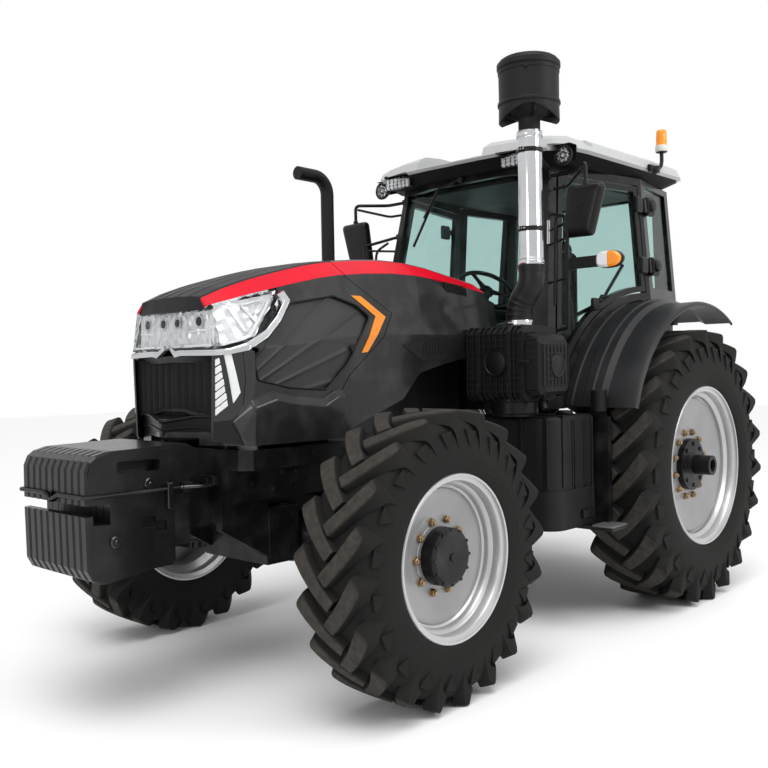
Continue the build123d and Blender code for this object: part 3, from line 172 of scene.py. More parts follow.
def lofted(sections: Array, capped: bool = True) -> Shape:
    """Closed sections joined in order, with the first and last filled in.

    Args:
        sections: corners as (section, around, 3), anticlockwise when seen from the last section.
        capped: whether the two ends are filled.

    Returns:
        The closed shape.
    """
    body = grid(sections, close_v=True)
    if not capped:
        return body
    count, around = sections.shape[:2]
    first = np.arange(around)[None, :]
    last = np.arange(around)[None, ::-1] + (count - 1) * around
    return Shape(body.points, body.faces + [first, last]).outward()


def extruded(outline: Array, axis: Axis, low: float, high: float, chamfer: float = 0.0) -> Shape:
    """A flat outline carried along an axis, with its two rims cut at 45 degrees.

    Args:
        outline: corners as (n, 2), in the other two axes' order X, Y, Z.
        axis: the direction of the extrusion.
        low: start along the axis.
        high: end along the axis.
        chamfer: width of the rim cut, which moves each corner towards the outline's middle.

    Returns:
        The closed prism.
    """
    outline = np.asarray(outline, float)
    if signed_area(outline) < 0:
        outline = outline[::-1]
    if axis is Axis.Y:
        outline = outline[::-1]
    levels = [(low, 0.0), (high, 0.0)]
    if chamfer:
        levels = [(low, chamfer), (low + chamfer, 0.0), (high - chamfer, 0.0), (high, chamfer)]
    others = [a for a in range(3) if a != axis.value]
    sections = np.zeros((len(levels), len(outline), 3))
    for k, (level, cut) in enumerate(levels):
        sections[k][:, others] = inset(outline, cut) if cut else outline
        sections[k][:, axis.value] = level
    return lofted(sections)


def signed_area(outline: Array) -> float:
    """Twice the outline's area, positive when it runs anticlockwise (the shoelace sum)."""
    x, y = outline[:, 0], outline[:, 1]
    return float(np.sum(x * np.roll(y, -1) - np.roll(x, -1) * y))


def inset(outline: Array, distance: float) -> Array:
    """The outline moved inwards: each corner goes along the mean of its two edges' inward normals.

    Args:
        outline: corners as (n, 2).
        distance: how far each edge moves.

    Returns:
        The smaller outline, corner for corner.
    """
    edges = np.roll(outline, -1, axis=0) - outline
    edges = edges / np.maximum(np.linalg.norm(edges, axis=1, keepdims=True), 1e-9)
    inward = np.stack([-edges[:, 1], edges[:, 0]], axis=1) * np.sign(signed_area(outline))
    before = np.roll(inward, 1, axis=0)
    mean = inward + before
    scale = 2.0 / np.maximum(np.sum(mean * mean, axis=1, keepdims=True), 0.5)
    return outline + mean * scale * distance


def rounded(outline: Sequence[Sequence[float]], radius: float | Sequence[float], steps: int = 5) -> Array:
    """A polygon with arcs in place of its corners, each tangent to both of the corner's edges.

    Args:
        outline: corners as (n, 2).
        radius: one radius, or one per corner.
        steps: points on each arc.

    Returns:
        The outline's points.
    """
    corners = np.asarray(outline, float)
    radii = np.broadcast_to(np.asarray(radius, float), (len(corners),))
    pieces = []
    for before, corner, after, r in zip(np.roll(corners, 1, 0), corners, np.roll(corners, -1, 0), radii):
        a, b = before - corner, after - corner
        la, lb = np.linalg.norm(a), np.linalg.norm(b)
        a, b = a / la, b / lb
        half = math.acos(float(np.clip(a @ b, -1, 1))) / 2
        cut = min(r / max(math.tan(half), 1e-6), 0.49 * la, 0.49 * lb)
        if r <= 0 or abs(half - math.pi / 2) < 1e-3:
            pieces.append(corner[None])
            continue
        t = np.linspace(0, 1, steps)[:, None]
        start, end = corner + a * cut, corner + b * cut
        pieces.append((1 - t) ** 2 * start + 2 * t * (1 - t) * corner + t ** 2 * end)
    return np.vstack(pieces)


def box_outline(a0: float, a1: float, b0: float, b1: float, radius: float = 0.0, steps: int = 5) -> Array:
    """A rectangle with rounded corners."""
    corners = [(a0, b0), (a1, b0), (a1, b1), (a0, b1)]
    return rounded(corners, radius, steps) if radius else np.array(corners, float)


def block(x: tuple[float, float], y: tuple[float, float], z: tuple[float, float], radius: float = 0.0,
          axis: Axis = Axis.Z, chamfer: float = 0.0, steps: int = 5) -> Shape:
    """A box with the edges along one axis rounded and the rims across it cut.

    Args:
        x: its reach in X.
        y: its reach in Y.
        z: its reach in Z.
        radius: radius of the edges along the axis.
        axis: the axis of those edges.
        chamfer: cut of the other edges.
        steps: points on each round edge.

    Returns:
        The closed box.
    """
    spans = [sorted(x), sorted(y), sorted(z)]
    low, high = spans.pop(axis.value)
    (a0, a1), (b0, b1) = spans
    return extruded(box_outline(a0, a1, b0, b1, radius, steps), axis, low, high, chamfer)


def turned_profile(profile: Sequence[Sequence[float]], axis: Axis, centre: Sequence[float], sides: int = 64,
                   closed: bool = True) -> Shape:
    """A profile turned about a line: each point runs round a circle of its own radius.

    Args:
        profile: (radius, place along the axis) points, outwards when they run clockwise in that plane.
        axis: direction of the line.
        centre: a point on the line, from which the places along it count.
        sides: points on each circle.
        closed: joins the last profile point to the first.

    Returns:
        The turned surface.
    """
    profile = np.asarray(profile, float)
    angles = np.arange(sides) * (2 * np.pi / sides)
    around = [a for a in range(3) if a != axis.value]
    if axis is Axis.Y:
        around = around[::-1]
    points = np.zeros((sides, len(profile), 3))
    points[:, :, axis.value] = profile[None, :, 1]
    points[:, :, around[0]] = np.cos(angles)[:, None] * profile[None, :, 0]
    points[:, :, around[1]] = np.sin(angles)[:, None] * profile[None, :, 0]
    return grid(points + np.asarray(centre, float), close_u=True, close_v=closed).outward()


def cylinder(axis: Axis, centre: Sequence[float], radius: float, low: float, high: float, sides: int = 32,
             chamfer: float = 0.0) -> Shape:
    """A closed cylinder along an axis, from low to high beyond its centre, with cut rims.

    Args:
        axis: its direction.
        centre: a point on its axis.
        radius: its radius.
        low: start along the axis, from the centre.
        high: end along the axis, from the centre.
        sides: facets round it.
        chamfer: cut of its rims.

    Returns:
        The closed cylinder.
    """
    profile = [(1e-5, high), (radius - chamfer, high), (radius, high - chamfer), (radius, low + chamfer),
               (radius - chamfer, low), (1e-5, low)]
    return turned_profile(profile, axis, centre, sides, closed=False)


def smooth_line(points: Sequence[Sequence[float]], count: int, closed: bool = False) -> Array:
    """A Catmull-Rom curve through points: each span is the cubic whose slopes are half the neighbours' span.

    Args:
        points: the points that the curve goes through, as (n, d).
        count: points on the result.
        closed: whether the curve returns to its start.

    Returns:
        The curve's points, evenly spread over its spans.
    """
    p = np.asarray(points, float)
    if closed:
        p = np.vstack([p[-1], p, p[0], p[1]])
    else:
        p = np.vstack([2 * p[0] - p[1], p, 2 * p[-1] - p[-2]])
    spans = len(p) - 3
    t = np.linspace(0, spans, count, endpoint=not closed)
    i = np.minimum(t.astype(int), spans - 1)
    t = (t - i)[:, None]
    a, b, c, d = p[i], p[i + 1], p[i + 2], p[i + 3]
    return 0.5 * (2 * b + (c - a) * t + (2 * a - 5 * b + 4 * c - d) * t ** 2
                  + (3 * b - a - 3 * c + d) * t ** 3)


def bent_line(points: Sequence[Sequence[float]], radius: float, steps: int = 8) -> Array:
    """Straight runs joined by bends: each corner becomes the quadratic curve between points one cut away.

    Args:
        points: corners as (n, 3).
        radius: cut on each side of a corner, no more than just under half of a run.
        steps: points on each bend.

    Returns:
        The line's points.
    """
    p = np.asarray(points, float)
    pieces = [p[:1]]
    for before, corner, after in zip(p[:-2], p[1:-1], p[2:]):
        a, b = before - corner, after - corner
        la, lb = np.linalg.norm(a), np.linalg.norm(b)
        cut = min(radius, 0.48 * la, 0.48 * lb)
        t = np.linspace(0, 1, steps)[:, None]
        pieces.append((1 - t) ** 2 * (corner + a / la * cut) + 2 * t * (1 - t) * corner
                      + t ** 2 * (corner + b / lb * cut))
    return np.vstack(pieces + [p[-1:]])


def swept(path: Array, section: Array, up: Sequence[float] = (0, 0, 1), scale: Array | None = None,
          capped: bool = True) -> Shape:
    """A section carried along a path, square to it, with its second axis kept near one direction.

    Args:
        path: points as (n, 3).
        section: closed outline as (m, 2), in (sideways, up) at each point.
        up: the direction that the section's second axis leans to.
        scale: size of the section at each point, or none.
        capped: whether the ends are filled.

    Returns:
        The closed sweep.
    """
    along = np.gradient(path, axis=0)
    along /= np.linalg.norm(along, axis=1, keepdims=True)
    side = np.cross(np.broadcast_to(np.asarray(up, float), along.shape), along)
    side /= np.maximum(np.linalg.norm(side, axis=1, keepdims=True), 1e-9)
    rise = np.cross(along, side)
    sizes = np.ones(len(path)) if scale is None else scale
    flat = section[None] * sizes[:, None, None]
    points = path[:, None] + flat[..., :1] * side[:, None] + flat[..., 1:] * rise[:, None]
    return lofted(points, capped)


def circle(radius: float, sides: int = 16) -> Array:
    """Points on a circle, anticlockwise."""
    a = np.arange(sides) * (2 * np.pi / sides)
    return np.stack([np.cos(a), np.sin(a)], axis=1) * radius


def tube(points: Sequence[Sequence[float]], radius: float, bend: float = 0.03, sides: int = 14,
         up: Sequence[float] = (0.13, 0.21, 0.97)) -> Shape:
    """A round bar along straight runs with bends between them."""
    return swept(bent_line(points, bend), circle(radius, sides), up)


def ringed(count: int, centre: Sequence[float], axis: Axis, make: Callable[[int], Shape],
           start: float = 0.0) -> Shape:
    """Copies of a shape set evenly round a line.

    Args:
        count: how many.
        centre: a point on the line.
        axis: the line's direction.
        make: gives the shape for each place, before it is turned there.
        start: angle of the first, in radians.

    Returns:
        All the copies as one shape.
    """
    return joined([make(i).turned(start + i * 2 * math.pi / count, axis, centre) for i in range(count)])


# ------------------------------------------------------------ finishes
class Graph:
    """A material's node tree, built one node at a time."""

    def __init__(self, name: str) -> None:
        """Starts a material that holds only its output and one principled shader."""
        self.material = bpy.data.materials.new(name)
        self.material.use_nodes = True
        self.tree = self.material.node_tree
        self.tree.nodes.clear()
        self.shader = self.node("ShaderNodeBsdfPrincipled")
        output = self.node("ShaderNodeOutputMaterial")
        self.tree.links.new(self.shader.outputs["BSDF"], output.inputs["Surface"])
        coordinates = self.node("ShaderNodeTexCoord")
        self.place = coordinates.outputs["Object"]

    def node(self, kind: str, **values: object) -> bpy.types.Node:
        """A new node with some of its own settings.

        Args:
            kind: the node's class name.
            values: settings of the node itself, not of its sockets.

        Returns:
            The node.
        """
        made = self.tree.nodes.new(kind)
        for key, value in values.items():
            setattr(made, key, value)
        return made

    def feed(self, socket: bpy.types.NodeSocket, value: object) -> None:
        """Sets a socket's own value, or links another node's output to it."""
        if isinstance(value, bpy.types.NodeSocket):
            self.tree.links.new(value, socket)
        else:
            socket.default_value = value

    def noise(self, scale: float, detail: float = 4.0, stretch: Sequence[float] = (1, 1, 1),
              roughness: float = 0.55) -> bpy.types.NodeSocket:
        """Fractal noise over the object's own coordinates.

        Args:
            scale: cells to the metre.
            detail: octaves.
            stretch: factor on each axis, for grain with a direction.
            roughness: how much the fine octaves count.

        Returns:
            The noise from 0 to 1.
        """
        mapping = self.node("ShaderNodeMapping")
        self.feed(mapping.inputs["Vector"], self.place)
        mapping.inputs["Scale"].default_value = tuple(stretch)
        made = self.node("ShaderNodeTexNoise")
        self.feed(made.inputs["Vector"], mapping.outputs["Vector"])
        for key, value in (("Scale", scale), ("Detail", detail), ("Roughness", roughness)):
            made.inputs[key].default_value = value
        return made.outputs["Fac"]

    def cells(self, scale: float, feature: str = "F1") -> bpy.types.NodeSocket:
        """Distance in a field of cells, as leather and moulded grain have it."""
        made = self.node("ShaderNodeTexVoronoi", feature=feature)
        self.feed(made.inputs["Vector"], self.place)
        made.inputs["Scale"].default_value = scale
        return made.outputs["Distance"]

    def span(self, value: bpy.types.NodeSocket, low: float, high: float, to_low: float = 0.0,
             to_high: float = 1.0) -> bpy.types.NodeSocket:
        """A value rescaled from one range to another and held inside it."""
        made = self.node("ShaderNodeMapRange")
        for key, given in (("Value", value), ("From Min", low), ("From Max", high), ("To Min", to_low),
                           ("To Max", to_high)):
            self.feed(made.inputs[key], given)
        return made.outputs["Result"]

    def mix(self, factor: object, first: object, second: object) -> bpy.types.NodeSocket:
        """A blend of two colours by a factor from 0 to 1."""
        made = self.node("ShaderNodeMix", data_type="RGBA")
        self.feed(made.inputs[0], factor)
        self.feed(made.inputs[6], first)
        self.feed(made.inputs[7], second)
        return made.outputs[2]

    def maths(self, operation: str, first: object, second: object = 0.0) -> bpy.types.NodeSocket:
        """One step of arithmetic on values."""
        made = self.node("ShaderNodeMath", operation=operation)
        self.feed(made.inputs[0], first)
        self.feed(made.inputs[1], second)
        return made.outputs[0]

    def split(self, vector: bpy.types.NodeSocket) -> tuple[bpy.types.NodeSocket, ...]:
        """The three parts of a vector."""
        made = self.node("ShaderNodeSeparateXYZ")
        self.feed(made.inputs[0], vector)
        return tuple(made.outputs)

    def bump(self, height: bpy.types.NodeSocket, depth: float,
             below: object | None = None) -> bpy.types.NodeSocket:
        """A bump from a height field.

        Args:
            height: the field from 0 to 1.
            depth: its depth in metres.
            below: a bump that this one lies on, or none.

        Returns:
            The normal.
        """
        made = self.node("ShaderNodeBump")
        made.inputs["Distance"].default_value = depth
        self.feed(made.inputs["Height"], height)
        if below is not None:
            self.feed(made.inputs["Normal"], below)
        return made.outputs["Normal"]

    def settle(self, **sockets: object) -> bpy.types.Material:
        """Sets the shader's sockets and gives the material.

        Args:
            sockets: values or links by socket name, with underscores for spaces.

        Returns:
            The material.
        """
        for key, value in sockets.items():
            self.feed(self.shader.inputs[key.replace("_", " ")], value)
        return self.material


Colour = tuple[float, float, float]


def rgba(colour: Colour, gain: float = 1.0) -> tuple[float, float, float, float]:
    """A colour with full opacity, brightened or darkened by a factor."""
    return (min(colour[0] * gain, 1.0), min(colour[1] * gain, 1.0), min(colour[2] * gain, 1.0), 1.0)


@dataclass(frozen=True)
class Finish:
    """A surface finish, made into a material once."""

    name: str
    colour: Colour
    roughness: float = 0.5

    def material(self) -> bpy.types.Material:
        """The finish's material, made at its first use."""
        found = bpy.data.materials.get(self.name)
        return found or self.build(Graph(self.name))

    def build(self, graph: Graph) -> bpy.types.Material:
        """Wires the material.

        Args:
            graph: the empty material.

        Returns:
            The finished material.
        """
        raise NotImplementedError


@dataclass(frozen=True)
class Paint(Finish):
    """Sprayed paint: a faint orange peel under a clear coat, with a little dust where it lies."""

    coat: float = 0.6
    metallic: float = 0.0
    dust: float = 0.12

    def build(self, graph: Graph) -> bpy.types.Material:
        """Large soft noise varies the colour, fine noise ripples the coat."""
        patches = graph.noise(2.6, 5.0)
        fine = graph.noise(160.0, 2.0)
        smudge = graph.span(graph.noise(9.0, 6.0), 0.45, 0.8)
        tone = graph.mix(graph.span(patches, 0.3, 0.7), rgba(self.colour, 0.88), rgba(self.colour, 1.12))
        dusty = graph.mix(graph.maths("MULTIPLY", smudge, self.dust), tone, (0.20, 0.19, 0.17, 1.0))
        rough = graph.span(patches, 0.2, 0.8, self.roughness * 0.85, self.roughness * 1.2)
        return graph.settle(Base_Color=dusty, Roughness=rough, Metallic=self.metallic, Coat_Weight=self.coat,
                            Specular_IOR_Level=0.16, Coat_Roughness=0.12, Normal=graph.bump(fine, 0.00012))


@dataclass(frozen=True)
class Plastic(Finish):
    """Moulded plastic: a pebbled grain, and a paler bloom in patches."""

    grain: float = 900.0
    depth: float = 0.0002
    bloom: float = 0.25

    def build(self, graph: Graph) -> bpy.types.Material:
        """Cells make the grain, soft noise the bloom."""
        grain = graph.cells(self.grain)
        patches = graph.span(graph.noise(5.0, 6.0), 0.35, 0.75)
        tone = graph.mix(graph.maths("MULTIPLY", patches, self.bloom), rgba(self.colour),
                         rgba(self.colour, 2.2))
        rough = graph.span(patches, 0.0, 1.0, self.roughness, min(self.roughness * 1.25, 1.0))
        return graph.settle(Base_Color=tone, Roughness=rough, Specular_IOR_Level=0.2,
                            Normal=graph.bump(grain, self.depth))


@dataclass(frozen=True)
class Rubber(Finish):
    """Tyre rubber: black flanks, with brown dust on the lugs' tips, found by the distance from the axle."""

    axle: tuple[float, float] = (0.0, 0.0)
    tip_radius: float = 1.0

    def build(self, graph: Graph) -> bpy.types.Material:
        """The radius in the wheel's plane drives the dust, noise breaks it up."""
        x, _, z = graph.split(graph.place)
        dx = graph.maths("SUBTRACT", x, self.axle[0])
        dz = graph.maths("SUBTRACT", z, self.axle[1])
        squares = graph.maths("ADD", graph.maths("MULTIPLY", dx, dx), graph.maths("MULTIPLY", dz, dz))
        radius = graph.maths("SQRT", squares)
        tip = graph.span(radius, self.tip_radius - 0.012, self.tip_radius - 0.003)
        grit = graph.noise(30.0, 8.0)
        soft = graph.noise(4.0, 5.0)
        black = graph.mix(graph.span(soft, 0.35, 0.7), rgba(self.colour, 0.8), rgba(self.colour, 1.35))
        amount = graph.maths("MULTIPLY", tip, graph.span(grit, 0.25, 0.7, 0.25, 0.85))
        tone = graph.mix(amount, black, (0.060, 0.054, 0.047, 1.0))
        rough = graph.span(soft, 0.2, 0.8, self.roughness * 0.9, min(self.roughness * 1.15, 1.0))
        fine = graph.noise(420.0, 3.0)
        return graph.settle(Base_Color=tone, Roughness=rough, Specular_IOR_Level=0.14,
                            Normal=graph.bump(fine, 0.0003))


@dataclass(frozen=True)
class Metal(Finish):
    """Bare or plated metal, with fine marks along one axis."""

    stretch: tuple[float, float, float] = (1.0, 1.0, 1.0)
    marks: float = 0.00003

    def build(self, graph: Graph) -> bpy.types.Material:
        """Stretched noise makes the marks, large noise a faint haze."""
        marks = graph.noise(240.0, 3.0, self.stretch)
        haze = graph.noise(6.0, 4.0)
        tone = graph.mix(graph.span(haze, 0.3, 0.75), rgba(self.colour), rgba(self.colour, 0.86))
        rough = graph.span(haze, 0.3, 0.8, self.roughness, self.roughness * 1.5 + 0.02)
        return graph.settle(Base_Color=tone, Roughness=rough, Metallic=1.0,
                            Normal=graph.bump(marks, self.marks))


@dataclass(frozen=True)
class Glass(Finish):
    """Tinted sheet glass, or a clear lens."""

    ior: float = 1.45

    def build(self, graph: Graph) -> bpy.types.Material:
        """A faint film of dust breaks up the reflection."""
        film = graph.noise(14.0, 5.0)
        tone = graph.mix(graph.span(film, 0.4, 0.8), rgba(self.colour), rgba(self.colour, 0.97))
        rough = graph.span(film, 0.3, 0.9, self.roughness, self.roughness + 0.02)
        return graph.settle(Base_Color=tone, Roughness=rough, Transmission_Weight=1.0, IOR=self.ior)


@dataclass(frozen=True)
class Mesh(Finish):
    """Perforated sheet: rows of round holes, painted near-black by their distance from a lattice."""

    pitch: float = 0.012
    hole: float = 0.0042

    def build(self, graph: Graph) -> bpy.types.Material:
        """A point's place in its cell gives its distance to the hole's middle; the hole is painted near-black
        as painted shade.
        """
        x, _, z = graph.split(graph.place)
        row = graph.maths("FLOOR", graph.maths("DIVIDE", z, self.pitch * 0.87))
        shift = graph.maths("MULTIPLY", graph.maths("PINGPONG", row, 1.0), self.pitch / 2)
        u = graph.maths("PINGPONG", graph.maths("ADD", x, shift), self.pitch / 2)
        v = graph.maths("PINGPONG", z, self.pitch * 0.87 / 2)
        du = graph.maths("SUBTRACT", u, self.pitch / 4)
        dv = graph.maths("SUBTRACT", v, self.pitch * 0.87 / 4)
        square = graph.maths("ADD", graph.maths("MULTIPLY", du, du), graph.maths("MULTIPLY", dv, dv))
        inside = graph.span(graph.maths("SQRT", square), self.hole * 0.62, self.hole * 0.68)
        soft = graph.span(graph.noise(7.0, 4.0), 0.35, 0.7)
        tone = graph.mix(soft, rgba(self.colour), rgba(self.colour, 1.7))
        # near-black in the holes: painted shade for the dark that shows through them
        dark = graph.mix(inside, (0.002, 0.002, 0.002, 1.0), tone)
        return graph.settle(Base_Color=dark, Roughness=self.roughness, Normal=graph.bump(inside, 0.0006))


@dataclass(frozen=True)
class Cloth(Finish):
    """Woven seat cover: crossed threads under a soft nap."""

    threads: float = 420.0

    def build(self, graph: Graph) -> bpy.types.Material:
        """Two stretched noises cross as warp and weft."""
        warp = graph.noise(self.threads, 2.0, (1.0, 0.08, 1.0))
        weft = graph.noise(self.threads, 2.0, (0.08, 1.0, 0.08))
        weave = graph.maths("ADD", warp, weft)
        tone = graph.mix(graph.span(weave, 0.7, 1.3), rgba(self.colour, 0.6), rgba(self.colour, 1.5))
        return graph.settle(Base_Color=tone, Roughness=self.roughness, Sheen_Weight=0.35,
                            Normal=graph.bump(weave, 0.0006))


@dataclass(frozen=True)
class Finishes:
    """Every finish of the tractor."""

    hood: Paint = Paint("hood charcoal", (0.010, 0.0104, 0.0115), 0.34, coat=0.40)
    cab: Paint = Paint("cab black", (0.004, 0.004, 0.0043), 0.32, coat=0.22)
    red: Paint = Paint("stripe red", (0.62, 0.0, 0.016), 0.42, coat=0.05, dust=0.0)
    chassis: Paint = Paint("chassis black", (0.0042, 0.0042, 0.0046), 0.42, coat=0.12)
    casting: Paint = Paint("casting black", (0.0052, 0.0052, 0.0056), 0.34, coat=0.22, dust=0.05)
    rim: Paint = Paint("wheel silver", (0.47, 0.47, 0.47), 0.36, coat=0.5, metallic=0.55, dust=0.08)
    dish: Paint = Paint("disc silver", (0.30, 0.30, 0.305), 0.42, coat=0.3, metallic=0.5, dust=0.15)
    white: Paint = Paint("pale patch", (0.62, 0.61, 0.58), 0.45, coat=0.3)
    plastic: Plastic = Plastic("moulded black", (0.0062, 0.0062, 0.0066), 0.46)
    trim: Plastic = Plastic("smooth black", (0.006, 0.006, 0.0065), 0.32, grain=1400.0, depth=0.00005,
                            bloom=0.1)
    fender: Plastic = Plastic("fender grey", (0.013, 0.0135, 0.0145), 0.34, bloom=0.3)
    roof: Plastic = Plastic("roof grey", (0.47, 0.475, 0.48), 0.34, grain=1500.0, depth=0.00006, bloom=0.04)
    seal: Plastic = Plastic("rubber seal", (0.0035, 0.0035, 0.0036), 0.66, grain=1800.0, depth=0.00004)
    hose: Plastic = Plastic("rubber hose", (0.008, 0.008, 0.008), 0.34, grain=700.0)
    rear_tyre: Rubber = Rubber("rear tyre rubber", (0.0105, 0.0100, 0.0094), 0.74, (-1.350, 0.8775), 0.8775)
    front_tyre: Rubber = Rubber("front tyre rubber", (0.0105, 0.0100, 0.0094), 0.74, (1.172, 0.673), 0.673)
    chrome: Metal = Metal("chrome pipe", (0.56, 0.57, 0.585), 0.09)
    steel: Metal = Metal("machined steel", (0.52, 0.52, 0.52), 0.30)
    bronze: Metal = Metal("passivated nuts", (0.34, 0.25, 0.15), 0.33)
    mirror: Metal = Metal("mirror silver", (0.86, 0.87, 0.88), 0.02, marks=0.000002)
    glass: Glass = Glass("cab glass", (0.60, 0.74, 0.72), 0.0, 1.12)
    lens: Glass = Glass("clear lens", (0.93, 0.95, 0.96), 0.02, 1.3)
    # pale paint on the lamps' reflectors, cells and cups: painted reflection of the bright studio in place of
    # chrome
    crystal: Paint = Paint("lamp crystal", (0.72, 0.73, 0.74), 0.16, coat=0.8, metallic=0.15, dust=0.0)
    lens_eye: Plastic = Plastic("projector glass", (0.012, 0.013, 0.016), 0.06, grain=60.0, depth=0.00001,
                                bloom=0.0)
    gloss: Paint = Paint("gloss black", (0.008, 0.008, 0.009), 0.20, coat=0.8, dust=0.03)
    frost: Paint = Paint("frosted lens", (0.72, 0.73, 0.74), 0.22, coat=0.8, dust=0.0)
    orange: Paint = Paint("amber lens face", (0.93, 0.27, 0.006), 0.20, coat=0.8, dust=0.0)
    steel_dark: Metal = Metal("worn tread", (0.22, 0.22, 0.22), 0.45)
    led: Paint = Paint("lamp white", (0.80, 0.81, 0.82), 0.25, coat=0.4, dust=0.0)
    mesh: Mesh = Mesh("perforated panel", (0.020, 0.020, 0.021), 0.45)
    fabric: Cloth = Cloth("seat cloth", (0.020, 0.020, 0.022), 0.9)


FINISH = Finishes()


def finish_of(name: str) -> Finish:
    """The finish that a field of Finishes names."""
    return getattr(FINISH, name)


# ------------------------------------------------------------ pieces
def mesh_of(name: str, shape: Shape) -> bpy.types.Mesh:
    """A mesh filled from the shape's arrays, each in one step."""
    mesh = bpy.data.meshes.new(name)
    sizes = np.concatenate([np.full(len(block), block.shape[1]) for block in shape.faces])
    loops = np.concatenate([block.ravel() for block in shape.faces])
    paints = np.concatenate([np.full(len(block), paint) for block, paint in zip(shape.faces, shape.paints)])
    mesh.vertices.add(len(shape.points))
    mesh.vertices.foreach_set("co", shape.points.astype(np.float32).ravel())
    mesh.loops.add(len(loops))
    mesh.loops.foreach_set("vertex_index", loops.astype(np.int32))
    mesh.polygons.add(len(sizes))
    mesh.polygons.foreach_set("loop_start", np.concatenate([[0], np.cumsum(sizes)[:-1]]).astype(np.int32))
    mesh.polygons.foreach_set("material_index", paints.astype(np.int32))
    return mesh


def add(name: str, shape: Shape, body: str, finishes: str | Sequence[str], replaces: Sequence[str] = (),
        bevel: float = 0.0, sharp: float = 32.0) -> bpy.types.Object:
    """Makes a piece of the tractor: its mesh, its finishes, its edges and the body that it rides on.

    Args:
        name: the piece's name.
        shape: its mesh, in the row frame.
        body: the CAD body that it rides on.
        finishes: field names of Finishes, one for each paint number of the shape.
        replaces: CAD nodes that it stands for.
        bevel: width of a bevel on its sharp edges, or none.
        sharp: angle in degrees past which an edge stays sharp.

    Returns:
        The piece.
    """
    names = [finishes] if isinstance(finishes, str) else list(finishes)
    name = name.replace(" ", "_")
    mesh = mesh_of(name, shape)
    for key in names:
        mesh.materials.append(finish_of(key).material())
    mesh.update(calc_edges=True)
    mesh.validate()
    mesh.shade_smooth()
    mesh.set_sharp_from_angle(angle=math.radians(sharp))
    obj = bpy.data.objects.new(name, mesh)
    bpy.context.scene.collection.objects.link(obj)
    if bevel:
        made = obj.modifiers.new("Edges", "BEVEL")
        made.width, made.segments, made.limit_method = bevel, 2, "ANGLE"
        made.angle_limit = BEVEL_FROM
        made.harden_normals = True
    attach(obj, body)
    if replaces:
        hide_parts(*replaces)
    return obj


def dress(node: str, finish: str) -> None:
    """Gives a carried-over CAD node a finish, with its mesh left alone."""
    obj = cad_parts[node]
    obj.data.materials.clear()
    obj.data.materials.append(finish_of(finish).material())


# ------------------------------------------------------------ running gear
REAR_AXLE_X, FRONT_AXLE_X = -1.350, 1.172
REAR_AXLE_Z, FRONT_AXLE_Z = 0.8775, 0.673
REAR_TRACK, FRONT_TRACK = 1.040, 1.014  # middle of each tyre, from the centre plane
REAR_RADIUS, REAR_LUG = 0.8775, 0.046  # the sizes that the tyre sections are drawn at


